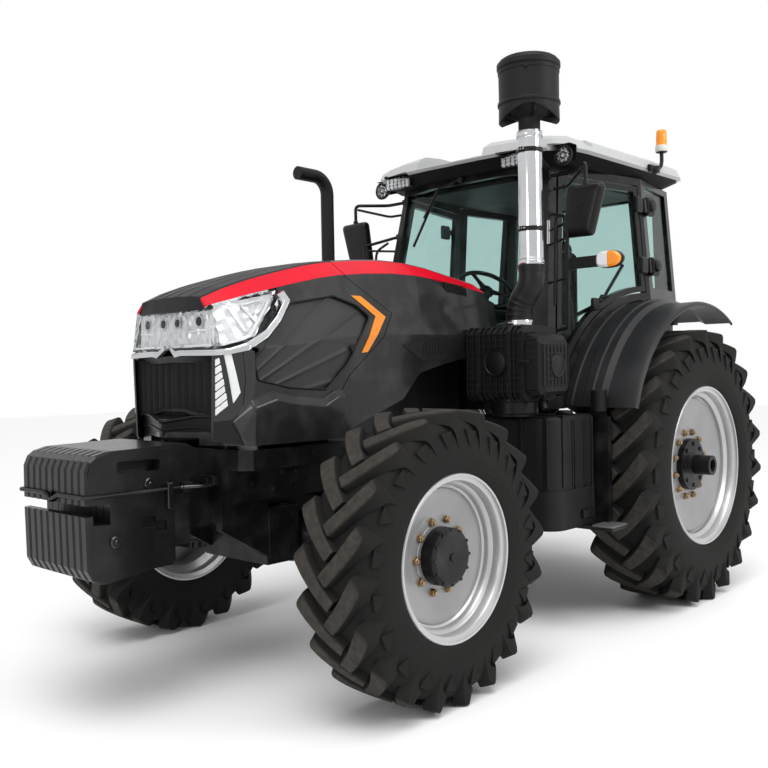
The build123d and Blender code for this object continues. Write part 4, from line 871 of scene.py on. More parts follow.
@dataclass
class DriveTyre:
    """A radial drive tyre with curved lugs, stepped shoulder pads and fine rings on its flanks."""

    node: str
    finish: str
    x: float
    y: float
    z: float
    radius: float
    half: float
    rim_radius: float
    rim_half: float
    lug_height: float
    lugs: int
    lug_width: float

    def carcass(self) -> Shape:
        """The body of the tyre, turned from its section: bead, flank with rings, shoulder and crown."""
        tread = self.radius - self.lug_height
        depth = tread - self.rim_radius
        # each point: its share of the depth, its share of the half width
        section = [(-0.02, self.rim_half / self.half * 0.93), (0.04, self.rim_half / self.half * 1.0),
                   (0.10, 0.955), (0.22, 0.985), (0.36, 1.0), (0.50, 0.992), (0.64, 0.965), (0.76, 0.93),
                   (0.86, 0.885), (0.935, 0.81), (0.975, 0.66), (0.992, 0.42), (1.0, 0.14), (1.0, 0.0)]
        outer = smooth_line([(self.rim_radius + a * depth, b * self.half) for a, b in section], 60)
        share = (outer[:, 0] - self.rim_radius) / depth
        for place, width, rise in ((0.17, 0.012, 0.0016), (0.29, 0.010, 0.0020), (0.63, 0.016, 0.0016)):
            outer[:, 1] += rise * np.exp(-((share - place) / width) ** 2) * (share < 0.9)
        profile = np.vstack([outer, (outer * [1, -1])[-2::-1]])
        inner = np.array([(self.rim_radius + 0.03, -self.rim_half * 0.8),
                          (self.rim_radius + 0.03, self.rim_half * 0.8)])
        return turned_profile(np.vstack([profile, inner]), Axis.Y, (self.x, self.y, self.z), 144)

    def crown(self, across: Array) -> Array:
        """Height of the carcass at a share of the half width: the crown falls off towards the shoulders."""
        return self.radius - self.lug_height - 0.034 * np.abs(across) ** 3.2 * self.half / 0.2

    def lug(self, index: int, side: int) -> Shape:
        """One lug: a bar from the shoulder to past the middle, curved forwards, with sloping flanks.

        Args:
            index: its place round the tyre.
            side: 1 or -1, the half of the tread that it is on.

        Returns:
            The lug, standing a little in the carcass.
        """
        pitch = 2 * math.pi / self.lugs
        start = index * pitch + (pitch / 2 if side < 0 else 0.0)
        # each row: share of the half width, advance in pitches, tip drop, foot depth, width factor
        rows = np.array([(1.00, -0.10, 0.085, 0.110, 1.12), (0.955, -0.04, 0.018, 0.070, 1.20),
                         (0.86, 0.09, 0.004, 0.030, 1.10), (0.66, 0.34, 0.000, 0.010, 1.00),
                         (0.42, 0.60, 0.000, 0.006, 0.94), (0.18, 0.82, 0.000, 0.006, 0.92),
                         (0.00, 0.97, 0.000, 0.006, 0.90), (-0.10, 1.05, 0.000, 0.006, 0.84)])
        rows = smooth_line(rows, 15)
        across, advance, drop, foot, width = rows.T
        tip_r = self.radius - drop * self.lug_height / REAR_LUG
        foot_r = self.crown(across) - foot * 0.9
        along = np.gradient(np.stack([across * self.half, advance * pitch * self.radius], axis=1), axis=0)
        along /= np.linalg.norm(along, axis=1, keepdims=True)
        normal = np.stack([-along[:, 1], along[:, 0]], axis=1)
        limit = self.half * 1.002
        rings = []
        for sign, radius, flare in ((-1, foot_r, 1.55), (-1, tip_r - 0.004, 1.05), (-0.93, tip_r, 1.0),
                                    (0.93, tip_r, 1.0), (1, tip_r - 0.004, 1.05), (1, foot_r, 1.55)):
            offset = sign * flare * width * self.lug_width / 2
            y = across * self.half + normal[:, 0] * offset
            angle = advance * pitch + normal[:, 1] * offset / self.radius
            rings.append((np.clip(y, -limit, limit), angle, np.broadcast_to(radius, y.shape)))
        y = np.stack([r[0] for r in rings], axis=1) * side
        angle = np.stack([r[1] for r in rings], axis=1) + start
        radius = np.stack([r[2] for r in rings], axis=1)
        points = np.stack([self.x + np.sin(angle) * radius, self.y + y, self.z + np.cos(angle) * radius],
                          axis=-1)
        return lofted(points)

    def shoulder_pads(self) -> Shape:
        """Low pads between the lugs' feet at the shoulders, which narrow in three steps down the flank."""
        pitch = 2 * math.pi / self.lugs
        share = np.array([0.972, 0.990, 0.998, 0.985])
        depth = np.array([0.040, 0.075, 0.110, 0.140]) * self.radius / REAR_RADIUS
        spread = np.array([0.20, 0.16, 0.10, 0.03]) * pitch
        radius = self.crown(np.array([0.93]))[0] + 0.004 - depth
        radius = np.concatenate([radius, radius[::-1]])
        across = np.concatenate([share, share[::-1]]) * self.half
        turn = np.concatenate([-spread, spread[::-1]])
        y = np.stack([across - 0.020, across + 0.004])
        widened = np.stack([turn * 1.1, turn])
        pads = []
        for index in range(self.lugs):
            for side in (1, -1):
                angle = index * pitch + (pitch / 2 if side < 0 else 0.0) + 0.50 * pitch + widened
                pads.append(lofted(np.stack([self.x + np.sin(angle) * radius, self.y + side * y,
                                             self.z + np.cos(angle) * radius], axis=-1)))
        return joined(pads)

    def build(self) -> None:
        """Adds the tyre in place of its CAD node."""
        lugs = [self.lug(i, side) for i in range(self.lugs) for side in (1, -1)]
        shape = joined([self.carcass(), self.shoulder_pads()] + lugs)
        side = "left" if self.y > 0 else "right"
        body = f"{self.node}_wheel_{side}"
        add(f"{self.node} tyre {side}", shape, body, self.finish, (f"{self.node}_tyre_{side}",), sharp=38)


def rx(forward: float) -> float:
    """X in metres of a place given in millimetres forward of the rear axle."""
    return REAR_AXLE_X + forward * MM


def at(x: float, y: float, z: float) -> tuple[float, float, float]:
    """A point in metres from millimetres forward of the rear axle, left and up."""
    return rx(x), y * MM, z * MM


def line(*points: tuple[float, float, float]) -> list[tuple[float, float, float]]:
    """Points in metres from points that `at` takes."""
    return [at(*p) for p in points]


def slab(x: tuple[float, float], y: tuple[float, float], z: tuple[float, float], radius: float = 0.0,
         axis: Axis = Axis.Z, chamfer: float = 0.0, steps: int = 4) -> Shape:
    """A box given in millimetres forward of the rear axle, with rounded edges along one axis."""
    return block((rx(x[0]), rx(x[1])), (y[0] * MM, y[1] * MM), (z[0] * MM, z[1] * MM), radius * MM, axis,
                 chamfer * MM, steps)


def plate_xz(outline: Sequence[Sequence[float]], y0: float, y1: float, radius: float = 0.0,
             chamfer: float = 0.0) -> Shape:
    """A side outline in millimetres, with rounded corners, carried across from one Y to another."""
    points = np.asarray(outline, float) * MM + [REAR_AXLE_X, 0]
    if radius:
        points = rounded(points, radius * MM)
    return extruded(points, Axis.Y, y0 * MM, y1 * MM, chamfer * MM)


@dataclass
class PressedRim:
    """A pressed steel rim: rolled flange, bead seat, stepped drop centre and the dished disc."""

    node: str
    x: float
    y: float
    z: float
    radius: float
    half: float
    well: float
    disc: float
    dish: float
    flat: float
    hole: float

    def build(self) -> None:
        """Turns barrel and disc, and adds them in place of the CAD rim."""
        r, h, w = self.radius, self.half, self.well
        face = [(r, h), (r + 0.004, h - 0.006), (r + 0.001, h - 0.014), (r - 0.010, h - 0.017),
                (r - 0.022, h - 0.019), (r - 0.027, h - 0.028), (r - 0.029, h - 0.062),
                (r - 0.040, h - 0.070), (r - w * 0.75, h - 0.080), (r - w * 0.80, h - 0.100),
                (r - w, h - 0.108), (r - w, -h + 0.11), (r - 0.03, -h + 0.07), (r - 0.027, -h + 0.02),
                (r, -h + 0.012), (r, -h)]
        inner = [(a - 0.008, b) for a, b in reversed(face[1:-1])]
        outer = np.array(face + [(r - 0.010, -h)] + inner[0:-1] + [(r - 0.009, h - 0.002)])
        centre = (self.x, abs(self.y), self.z)
        barrel = turned_profile(outer, Axis.Y, centre, 112)
        edge = r - w - 0.008
        d, t = self.disc, 0.012
        front = [(edge, d + self.dish + t), (edge - 0.012, d + self.dish + t + 0.004),
                 (edge - 0.030, d + self.dish + t), (self.flat + 0.035, d + t + 0.007),
                 (self.flat + 0.012, d + t + 0.001), (self.flat, d + t), (self.hole + 0.022, d + t),
                 (self.hole + 0.018, d + t + 0.003), (self.hole, d + t + 0.003)]
        back = [(self.hole, d), (self.flat + 0.012, d), (edge - 0.03, d + self.dish), (edge, d + self.dish)]
        disc = turned_profile(front + back, Axis.Y, centre, 96)
        side = Side.LEFT if self.y > 0 else Side.RIGHT
        body = f"{self.node}_wheel_{side.word}"
        add(f"{self.node} rim {side.word}", barrel.on(side), body, "rim", (f"{self.node}_rim_{side.word}",))
        add(f"{self.node} disc {side.word}", disc.on(side), body, "dish")


@dataclass
class WheelNuts:
    """A circle of flanged nuts on their studs."""

    node: str
    x: float
    z: float
    face: float
    circle: float
    count: int
    width: float
    finish: str = "bronze"

    def nut(self, index: int) -> Shape:
        """One nut at the top of its circle, with washer and stud end."""
        centre = (self.x, self.face, self.z + self.circle)
        washer = cylinder(Axis.Y, centre, self.width * 0.66, -0.002, 0.004, 16, 0.001)
        body = cylinder(Axis.Y, centre, self.width * 0.56, 0.003, self.width * 0.62, 6, 0.0025)
        stud = cylinder(Axis.Y, centre, self.width * 0.33, 0.0, self.width * 0.86, 12, 0.002)
        return washer + body.turned(0.3 * index, Axis.Y, centre) + stud

    def build(self, side: Side) -> None:
        """Adds the circle to one wheel."""
        shape = ringed(self.count, (self.x, self.face, self.z), Axis.Y, self.nut, math.pi / self.count)
        add(f"{self.node} nuts {side.word}", shape.on(side), f"{self.node}_wheel_{side.word}", self.finish)


@dataclass
class Wheels:
    """All four wheels with their hubs."""

    def build(self) -> None:
        """Adds tyres, rims, nuts and hub detail."""
        for side in Side:
            rear = (REAR_AXLE_X, side.value * REAR_TRACK, REAR_AXLE_Z)
            front = (FRONT_AXLE_X, side.value * FRONT_TRACK, FRONT_AXLE_Z)
            DriveTyre("rear", "rear_tyre", *rear, radius=0.8772, half=0.233, rim_radius=0.508, rim_half=0.214,
                      lug_height=0.046, lugs=22, lug_width=0.074).build()
            DriveTyre("front", "front_tyre", *front, radius=0.6727, half=0.189, rim_radius=0.381,
                      rim_half=0.175, lug_height=0.040, lugs=20, lug_width=0.066).build()
            PressedRim("rear", *rear, radius=0.508, half=0.214, well=0.068, disc=0.070, dish=0.040,
                       flat=0.248, hole=0.101).build()
            PressedRim("front", *front, radius=0.381, half=0.175, well=0.062, disc=0.046, dish=0.012,
                       flat=0.200, hole=0.1345).build()
            WheelNuts("front", FRONT_AXLE_X, FRONT_AXLE_Z, face=FRONT_TRACK + 0.058, circle=0.1675, count=10,
                      width=0.032).build(side)
            WheelNuts("rear", REAR_AXLE_X, REAR_AXLE_Z, face=REAR_TRACK + 0.082, circle=0.2125, count=12,
                      width=0.036).build(side)
            self.hubs(side)

    def hubs(self, side: Side) -> None:
        """The planetary cap's bolts and ribs in front, the bolted flange and valve behind."""
        x, _, z = front = (FRONT_AXLE_X, FRONT_TRACK, FRONT_AXLE_Z)
        bolts = ringed(12, front, Axis.Y, lambda i: cylinder(Axis.Y, (x, 1.149, z + 0.124), 0.0085, -0.012,
                                                             0.006, 6, 0.0015))
        step = turned_profile([(0.05, 0.1385), (0.098, 0.1385), (0.101, 0.1375), (0.101, 0.13), (0.05, 0.13)],
                              Axis.Y, front, 64)
        plug = cylinder(Axis.Y, front, 0.020, 0.138, 0.1465, 6, 0.002)
        add(f"front cap bolts {side.word}", (bolts + step + plug).on(side), f"front_wheel_{side.word}",
            "chassis")
        x_rear, _, z_rear = rear = (REAR_AXLE_X, REAR_TRACK, REAR_AXLE_Z)
        flange = ringed(8, rear, Axis.Y, lambda i: cylinder(Axis.Y, (x_rear, 1.160, z_rear + 0.135), 0.014,
                                                            -0.004, 0.012, 6, 0.002))
        valve = cylinder(Axis.Y, (x_rear + 0.2, 1.150, z_rear + 0.37), 0.005, -0.02, 0.045, 12, 0.001)
        add(f"rear flange bolts {side.word}", (flange + valve).on(side), f"rear_wheel_{side.word}", "chassis")


# ------------------------------------------------------------ hood
@dataclass
class HoodForm:
    """The hood's outer form. Each row: its place, then Y and Z of top edge, shoulder, belt and foot."""

    rows: tuple[tuple[float, ...], ...] = (
        (1250, 335, 2040, 415, 1985, 465, 1720, 460, 1190),
        (1900, 325, 2125, 425, 2048, 480, 1720, 465, 1190),
        (2480, 305, 2088, 405, 2015, 478, 1700, 465, 1190),
        (2900, 280, 1990, 360, 1925, 470, 1650, 455, 1190),
        (3100, 262, 1925, 325, 1872, 462, 1640, 445, 1190),
        (3215, 245, 1875, 288, 1838, 335, 1640, 315, 1215))

    def eased(self) -> Array:
        """The rows with two more between each pair, on cubic curves, up to the straight last span."""
        table = np.array(self.rows, float)
        curved = table[:-1]
        ends = np.arange(len(curved))
        before, after = curved[np.maximum(ends - 1, 0)], table[np.minimum(ends + 1, len(curved) - 1)]
        slope = (after - before) / (after[:, :1] - before[:, :1])
        rows = []
        for i in range(len(curved) - 1):
            a, b = curved[i], curved[i + 1]
            span = b[0] - a[0]
            for t in (0.0, 1 / 3, 2 / 3):
                row = ((2 * t ** 3 - 3 * t ** 2 + 1) * a + (t ** 3 - 2 * t ** 2 + t) * span * slope[i]
                       + (3 * t ** 2 - 2 * t ** 3) * b + (t ** 3 - t ** 2) * span * slope[i + 1])
                row[0] = a[0] + t * span
                rows.append(row)
        return np.array(rows + [table[-2], table[-1]])

    def row(self, x: Array) -> list[Array]:
        """The section's sizes at places along the hood."""
        table = self.eased()
        return [np.interp(x, table[:, 0], table[:, k]) for k in range(1, 9)]

    def side(self, x: Array, z: Array) -> Array:
        """Y of the left side at places and heights: straight from foot to belt and from belt to shoulder."""
        _, _, ys, zs, yb, zb, yl, zl = self.row(np.asarray(x, float))
        z = np.asarray(z, float)
        upper = yb + (ys - yb) * (z - zb) / (zs - zb)
        lower = yb + (yl - yb) * (z - zb) / (zl - zb)
        return np.where(z > zb, upper, lower)

    def panel(self, upper: Sequence[Sequence[float]], lower: Sequence[Sequence[float]], out: float,
              depth: float, across: int = 24, down: int = 10,
              relief: Callable[[Array, Array], Array] | None = None) -> Shape:
        """A panel on the left side between two lines.

        Args:
            upper: (x, z) points of one edge, in millimetres.
            lower: (x, z) points of the other, run the same way.
            out: how far its face stands out of the side.
            depth: its thickness, inwards from the face.
            across: points along the lines.
            down: points from line to line.
            relief: gives further heights of the face from X and Z.

        Returns:
            The closed panel in metres.
        """
        def spread(points: Sequence[Sequence[float]]) -> Array:
            """Even points along straight runs."""
            p = np.asarray(points, float)
            length = np.concatenate([[0], np.cumsum(np.linalg.norm(np.diff(p, axis=0), axis=1))])
            t = np.linspace(0, length[-1], across)
            return np.stack([np.interp(t, length, p[:, 0]), np.interp(t, length, p[:, 1])], axis=1)

        share = np.linspace(0, 1, down)[:, None, None]
        flat = spread(upper)[None] * (1 - share) + spread(lower)[None] * share
        y = self.side(flat[..., 0], flat[..., 1])
        if relief is not None:
            y = y + relief(flat[..., 0], flat[..., 1])
        layers = [np.stack([flat[..., 0], y + level, flat[..., 1]], axis=-1) for level in (out, out - depth)]
        points = np.concatenate([layer.reshape(-1, 3) for layer in layers]) * MM
        points[:, 0] += REAR_AXLE_X
        count = across * down
        i, j = np.meshgrid(np.arange(down - 1), np.arange(across - 1), indexing="ij")
        first = (i * across + j).ravel()
        front = np.stack([first, first + across, first + across + 1, first + 1], axis=1)
        back = front[:, ::-1] + count
        rim = np.concatenate([np.arange(across), np.arange(2, down) * across - 1,
                              np.arange(across * down - 1, across * (down - 1) - 1, -1),
                              np.arange(down - 2, 0, -1) * across])
        after = np.roll(rim, -1)
        walls = np.stack([rim, after, after + count, rim + count], axis=1)
        return Shape(points, [front, back, walls]).outward()


HOOD = HoodForm()


@dataclass
class HoodDetail:
    """Mesh surround, louvres, side vents and latch of the hood."""

    mesh_edge: tuple[tuple[float, float], ...] = ((3060, 1490), (3085, 1590), (2800, 1860), (2540, 1905),
                                                  (2400, 1865), (2310, 1805), (2490, 1560), (2640, 1435),
                                                  (2870, 1450))

    def on_side(self, points: Sequence[Sequence[float]], radius: float, out: float = 1.0) -> Shape:
        """A round bead that follows a closed line of (x, z) points on the side."""
        flat = rounded(points, 26, 6)
        y = HOOD.side(flat[:, 0], flat[:, 1]) + out
        path = np.stack([flat[:, 0], y, flat[:, 1]], axis=1) * MM + [REAR_AXLE_X, 0, 0]
        path = np.vstack([path, path[:1]])
        return swept(path, circle(radius * MM, 8), (0, 1, 0.02))

    def build(self) -> None:
        """Adds the details of both sides."""
        bead = self.on_side(self.mesh_edge, 5.0)
        add("mesh surround", bead.both_sides(), "hood", "trim")
        slot_upper = [(1440, 2010), (1830, 2044)]
        slot_lower = [(1440, 1952), (1630, 1970), (1830, 2036)]
        fins = []
        for x in range(1470, 1650, 24):
            rise = (x - 1440) * 0.085
            fins.append(HOOD.panel([(x, 2012 + rise), (x + 14, 2013 + rise)], [(x - 14, 1968), (x, 1969)],
                                   3.0, 9.0, 4, 4))
        louvre = HOOD.panel(slot_upper, slot_lower, -6.0, 6.0, 30, 8)
        add("rear louvre", joined([louvre] + fins).both_sides(), "hood", "plastic")
        insert = HOOD.panel([(1490, 1716), (1800, 1716), (2070, 1662)],
                            [(1570, 1592), (1910, 1572), (2070, 1655)], 4.0, 9.0, 40, 8)
        ribs = []
        for x in range(1580, 1900, 26):
            top = 1704 - max(x - 1800, 0) * 0.19
            ribs.append(HOOD.panel([(x, top), (x + 9, top)], [(x + 12, 1606), (x + 21, 1606)], 7.0, 6.0, 3,
                                   5))
        add("side vent", joined([insert] + ribs).both_sides(), "hood", "plastic")
        latch = HOOD.panel([(2436, 1640), (2462, 1620)], [(2452, 1668), (2478, 1648)], 6.0, 9.0, 8, 6)
        add("hood latch", latch.both_sides(), "hood", "trim", bevel=0.002)


def ribbon(upper: Sequence[Sequence[float]], lower: Sequence[Sequence[float]], inward: Sequence[float],
           count: int = 0) -> Shape:
    """A strip between two lines of (x, y, z) points in millimetres forward of the rear axle.

    Args:
        upper: one edge.
        lower: the other edge, run the same way.
        inward: the step from its face to its back.
        count: points on a smooth curve through each edge, or none to keep the corners.

    Returns:
        The closed strip in metres.
    """
    a, b = (smooth_line(edge, count) if count else np.asarray(edge, float) for edge in (upper, lower))
    step = np.asarray(inward, float)
    rings = np.stack([a, b, b + step, a + step], axis=1) * MM
    rings[..., 0] += REAR_AXLE_X
    return lofted(rings)


# ------------------------------------------------------------ nose
@dataclass
class SidePanel:
    """The perforated panel on the hood's side, with soft folds that fan out from below the lamp."""

    upper: tuple[tuple[float, float], ...] = ((2312, 1806), (2400, 1866), (2540, 1906), (2800, 1861),
                                              (3040, 1634), (3084, 1592))
    lower: tuple[tuple[float, float], ...] = ((2318, 1796), (2490, 1560), (2640, 1435), (2870, 1449),
                                              (3040, 1484), (3061, 1492))
    source: tuple[float, float] = (3330.0, 1330.0)
    folds: int = 5
    first: float = 0.12  # angles at the source, in radians
    fan: float = 0.74
    sunk: float = 16.0
    crest: float = 5.0

    def relief(self, x: Array, z: Array) -> Array:
        """Height of the folds: sharp crests at even angles, that run away from the source."""
        angle = np.arctan2(z - self.source[1], self.source[0] - x)
        share = (angle - self.first) / self.fan * self.folds
        near = 1 - np.abs((share % 1.0) * 2 - 1)
        return -self.sunk + self.crest * near ** 7

    def build(self) -> None:
        """Adds the panel in place of the CAD mesh."""
        shape = HOOD.panel(self.upper, self.lower, 0.0, 6.0, 90, 56, self.relief)
        add("side mesh", shape.both_sides(), "hood", "mesh", ("side_mesh",), sharp=60)


@dataclass
class Nose:
    """Chrome trim, crystal lamps, light strips and the chin."""

    trim_top: tuple[tuple[float, float, float], ...] = (
        (3236, 20, 1664), (3246, 70, 1634), (3243, 112, 1637), (3216, 338, 1634), (3166, 395, 1640),
        (3112, 447, 1662), (3000, 452, 1724), (2930, 449, 1792), (2872, 440, 1872))
    trim_low: tuple[tuple[float, float, float], ...] = (
        (3234, 20, 1640), (3246, 72, 1603), (3244, 116, 1610), (3218, 342, 1606), (3168, 402, 1612),
        (3108, 458, 1628), (2996, 462, 1690), (2914, 458, 1768), (2848, 448, 1862))

    def strips(self) -> None:
        """The dark panel beside the grille, with its cluster of small lights and its white strip."""
        plate = HOOD.panel([(3212, 1604), (3160, 1616), (3092, 1630)],
                           [(3212, 1300), (3160, 1306), (3092, 1416)], 2.5, 6.0, 12, 12)
        add("strip panel", plate.both_sides(), "hood", "gloss")
        cells = []
        for k in range(7):
            t0, t1 = k / 7 + 0.015, (k + 1) / 7 - 0.012
            top = [(3211 - 2 * t0, 1592 - t0 * 264), (3200 - 29 * t0, 1600 - t0 * 226)]
            low = [(3211 - 2 * t1, 1592 - t1 * 264), (3200 - 29 * t1, 1600 - t1 * 226)]
            cells.append(HOOD.panel(top, low, 7.0 + 3.0 * (k % 2), 10.0, 4, 4))
        # the small lights' cells take the pale crystal paint: painted reflection in place of chrome
        # reflectors
        add("lamp cells", joined(cells).both_sides(), "hood", "crystal", bevel=0.002, sharp=10)
        strip = HOOD.panel([(3184, 1608), (3168, 1500), (3155, 1388)],
                           [(3164, 1619), (3148, 1526), (3134, 1436)], 9.0, 12.0, 16, 8)
        add("light strip", strip.both_sides(), "hood", "frost", bevel=0.002)
        post = HOOD.panel([(3128, 1628), (3118, 1500), (3126, 1380), (3150, 1312)],
                          [(3088, 1624), (3080, 1500), (3092, 1380), (3128, 1300)], 12.0, 16.0, 18, 5)
        add("panel post", post.both_sides(), "hood", "gloss", bevel=0.002)

    def trim(self) -> None:
        """The chrome band under the lamps, rising to the tip."""
        lower = [(x + 3, y + 2, z) for x, y, z in self.trim_low]
        upper_face = ribbon(self.trim_top, [(x + 4, y + 3, z - 9) for x, y, z in self.trim_top], (-12, -9, 0))
        face = ribbon([(x + 4, y + 3, z - 9) for x, y, z in self.trim_top], lower, (-16, -10, 0))
        tip = ribbon([(2838, 442, 1868), (2868, 430, 1914)], [(2884, 446, 1846), (2900, 432, 1896)],
                     (0, -16, 0))
        shapes = upper_face + face + tip
        add("lamp trim", shapes.both_sides(), "hood", "chrome", ("headlight_trim",), bevel=0.0012)

    def crystal(self) -> None:
        """Faceted reflectors behind the covers, in pale paint as a painted reflection, with dark projector
        eyes and white guides.
        """
        random = np.random.default_rng(7)
        parts = []
        for y0, y1, rows, columns in ((0, 112, 9, 9), (113, 286, 9, 13)):
            z, y = np.meshgrid(np.linspace(1648, 1816, rows), np.linspace(y0, y1, columns), indexing="ij")
            y = y + random.uniform(-4, 4, y.shape) * (y > y0)
            z = z + random.uniform(-5, 5, z.shape)
            x = 3198 - 0.10 * y + random.uniform(-7, 6, y.shape)
            sheet = np.stack([x, y, z], axis=-1) * MM + [REAR_AXLE_X, 0, 0]
            loops = np.concatenate([sheet, sheet[:, ::-1] - [0.006, 0, 0]], axis=1)
            parts.append(lofted(loops))
        noise = random.uniform(-11, 9, (64, 64))

        def rough(x: Array, z: Array) -> Array:
            """Random heights on the panel's own grid."""
            return noise[:x.shape[0], :x.shape[1]] - 24.0

        parts.append(HOOD.panel([(2886, 1900), (3040, 1866), (3180, 1834)],
                                [(2874, 1872), (3040, 1692), (3180, 1650)], 0.0, 6.0, 15, 9, rough))
        # the facets take the pale crystal paint: painted reflection of the studio in place of chrome
        add("lamp facets", joined(parts).both_sides(), "hood", "crystal", sharp=4)
        eyes = [cylinder(Axis.X, at(3206 - 0.1 * y, y, z), r * MM, -0.006, 0.012, 28, 0.005)
                for y, z, r in ((58, 1766, 18), (206, 1768, 20))]
        add("lamp eyes", joined(eyes).both_sides(), "hood", "lens_eye")
        rings = [turned_profile([(r * MM, 0.0), ((r + 6) * MM, 0.010), ((r + 9) * MM, 0.006),
                                 ((r + 3) * MM, -0.004)],
                                Axis.X, at(3206 - 0.1 * y, y, z), 28, True)
                 for y, z, r in ((58, 1766, 19), (206, 1768, 21))]
        guides = [ribbon([(3222, 124, 1650), (3210, 318, 1650)], [(3223, 124, 1660), (3211, 314, 1660)],
                         (-10, 0, 0)),
                  ribbon([(3216, 128, 1716), (3204, 268, 1722)], [(3216, 132, 1723), (3204, 266, 1730)],
                         (-8, 0, 0)),
                  ribbon([(3224, 10, 1650), (3224, 96, 1650)], [(3224, 12, 1658), (3224, 94, 1658)],
                         (-8, 0, 0)),
                  HOOD.panel([(2900, 1874), (2984, 1776), (3070, 1690), (3180, 1650)],
                             [(2908, 1882), (2990, 1786), (3076, 1702), (3180, 1662)], -9.0, 10.0, 24, 3),
                  HOOD.panel([(2960, 1872), (3060, 1846)], [(2962, 1864), (3062, 1838)], -9.0, 8.0, 8, 3),
                  HOOD.panel([(3000, 1756), (3016, 1748)], [(3050, 1836), (3064, 1832)], -9.0, 8.0, 8, 6),
                  HOOD.panel([(3080, 1716), (3094, 1712)], [(3110, 1822), (3124, 1818)], -9.0, 8.0, 8, 6)]
        add("lamp guides", joined(rings + guides).both_sides(), "hood", "led", bevel=0.001)

    def chin(self) -> None:
        """The glossy chin over the bumper, with its raised lip that steps down in the middle."""
        plan = np.array([(3048, 454), (3094, 449), (3166, 332), (3215, 182), (3272, 32), (3276, 0)], float)

        def edge(z: Sequence[float], out: float) -> list[tuple[float, float, float]]:
            """The plan as points, each at its height."""
            return [(x + out, y + out * 0.6, h) for (x, y), h in zip(plan, z)]

        shell = ribbon(edge([1318, 1318, 1318, 1318, 1304, 1300], 3),
                       edge([1192, 1192, 1192, 1228, 1230, 1230], -4), (-16, -8, 0))
        lip = swept(np.array(line(*edge([1322, 1326, 1326, 1324, 1300, 1298], 5))), circle(0.0075, 8))
        lower = swept(np.array(line(*edge([1252, 1256, 1262, 1276, 1262, 1258], 3))), circle(0.004, 8))
        cheek = HOOD.panel([(3213, 1304), (3166, 1310), (3118, 1318)],
                           [(3213, 1218), (3158, 1202), (3104, 1194)], 3.5, 7.0, 10, 8)
        back = [(3040, 448, 1326), (3078, 440, 1328), (3150, 330, 1330), (3186, 182, 1332),
                (3196, 32, 1326), (3196, 0, 1326)]
        shelf = ribbon(edge([1321, 1325, 1325, 1323, 1299, 1297], 3), back, (0, 0, -7))
        add("chin", (shell + lip + lower + cheek + shelf).both_sides(), "hood", "trim")
        y, z = np.meshgrid(np.linspace(0, 338, 86), [1318, 1326, 1340, 1460, 1590, 1610], indexing="ij")
        fold = np.abs(np.sin((y + 14) / 56 * math.pi)) ** 0.45
        x = 3186 + 13 * fold * np.interp(z, [1318, 1340, 1590, 1610], [0.3, 1, 1, 0.3]) - 0.02 * y
        sheet = np.stack([x, y, z], axis=-1) * MM + [REAR_AXLE_X, 0, 0]
        loops = np.concatenate([sheet, sheet[:, ::-1] - [0.005, 0, 0]], axis=1)
        add("grille folds", lofted(loops).both_sides(), "hood", "seal", sharp=60)
        brow_top = [(3216, 0, 1892), (3216, 130, 1889), (3214, 246, 1876), (3196, 290, 1846)]
        brow_low = [(3236, 0, 1822), (3232, 112, 1822), (3212, 270, 1822), (3192, 298, 1826)]
        add("lamp brow", ribbon(brow_top, brow_low, (-14, -3, -4)).both_sides(), "hood", "plastic",
            bevel=0.002)
        brow = [(3226, 0, 1606), (3226, 110, 1602), (3196, 296, 1600)]
        cowl = ribbon([(x, y, z + 6) for x, y, z in brow], [(x - 22, y - 4, z - 26) for x, y, z in brow],
                      (-26, -6, 0))
        low = [(3196, 262, 1332), (3208, 150, 1332), (3214, 90, 1346), (3216, 0, 1346)]
        sill = ribbon([(x - 16, y, z + 14) for x, y, z in low], low, (-30, -4, 0))
        add("grille frame", (cowl + sill).both_sides(), "hood", "trim", bevel=0.002)

    def wing(self) -> None:
        """The raised lower panel behind the chin, with its broad bevel along the top and the front."""
        crest = np.array([(2581, 1434), (2670, 1392), (2877, 1414), (2973, 1434), (3107, 1396),
                          (3161, 1301)], float)

        def rise(x: Array, z: Array) -> Array:
            """Height of the panel: a bevel that climbs away from its upper edge and from its front."""
            down = (np.interp(x, crest[:, 0], crest[:, 1]) - z) / 34.0
            back = (3164.0 + (1301.0 - np.maximum(z, 1200)) * 0.35 - x) / 46.0
            return 12.0 + 20.0 * np.clip(np.minimum(down, back), 0.0, 1.0)

        top = [(2536, 1432), (2581, 1434), (2670, 1392), (2877, 1414), (2973, 1434), (3107, 1396),
               (3161, 1301)]
        foot = [(2536, 1192), (2581, 1192), (2670, 1192), (2877, 1192), (2973, 1192), (3094, 1192),
                (3130, 1194)]
        add("lower wing", HOOD.panel(top, foot, 0.0, 14.0, 90, 40, rise).both_sides(), "hood", "hood",
            sharp=60)

    def build(self) -> None:
        """Adds every piece of the nose."""
        self.wing()
        self.trim()
        self.crystal()
        self.strips()
        self.chin()


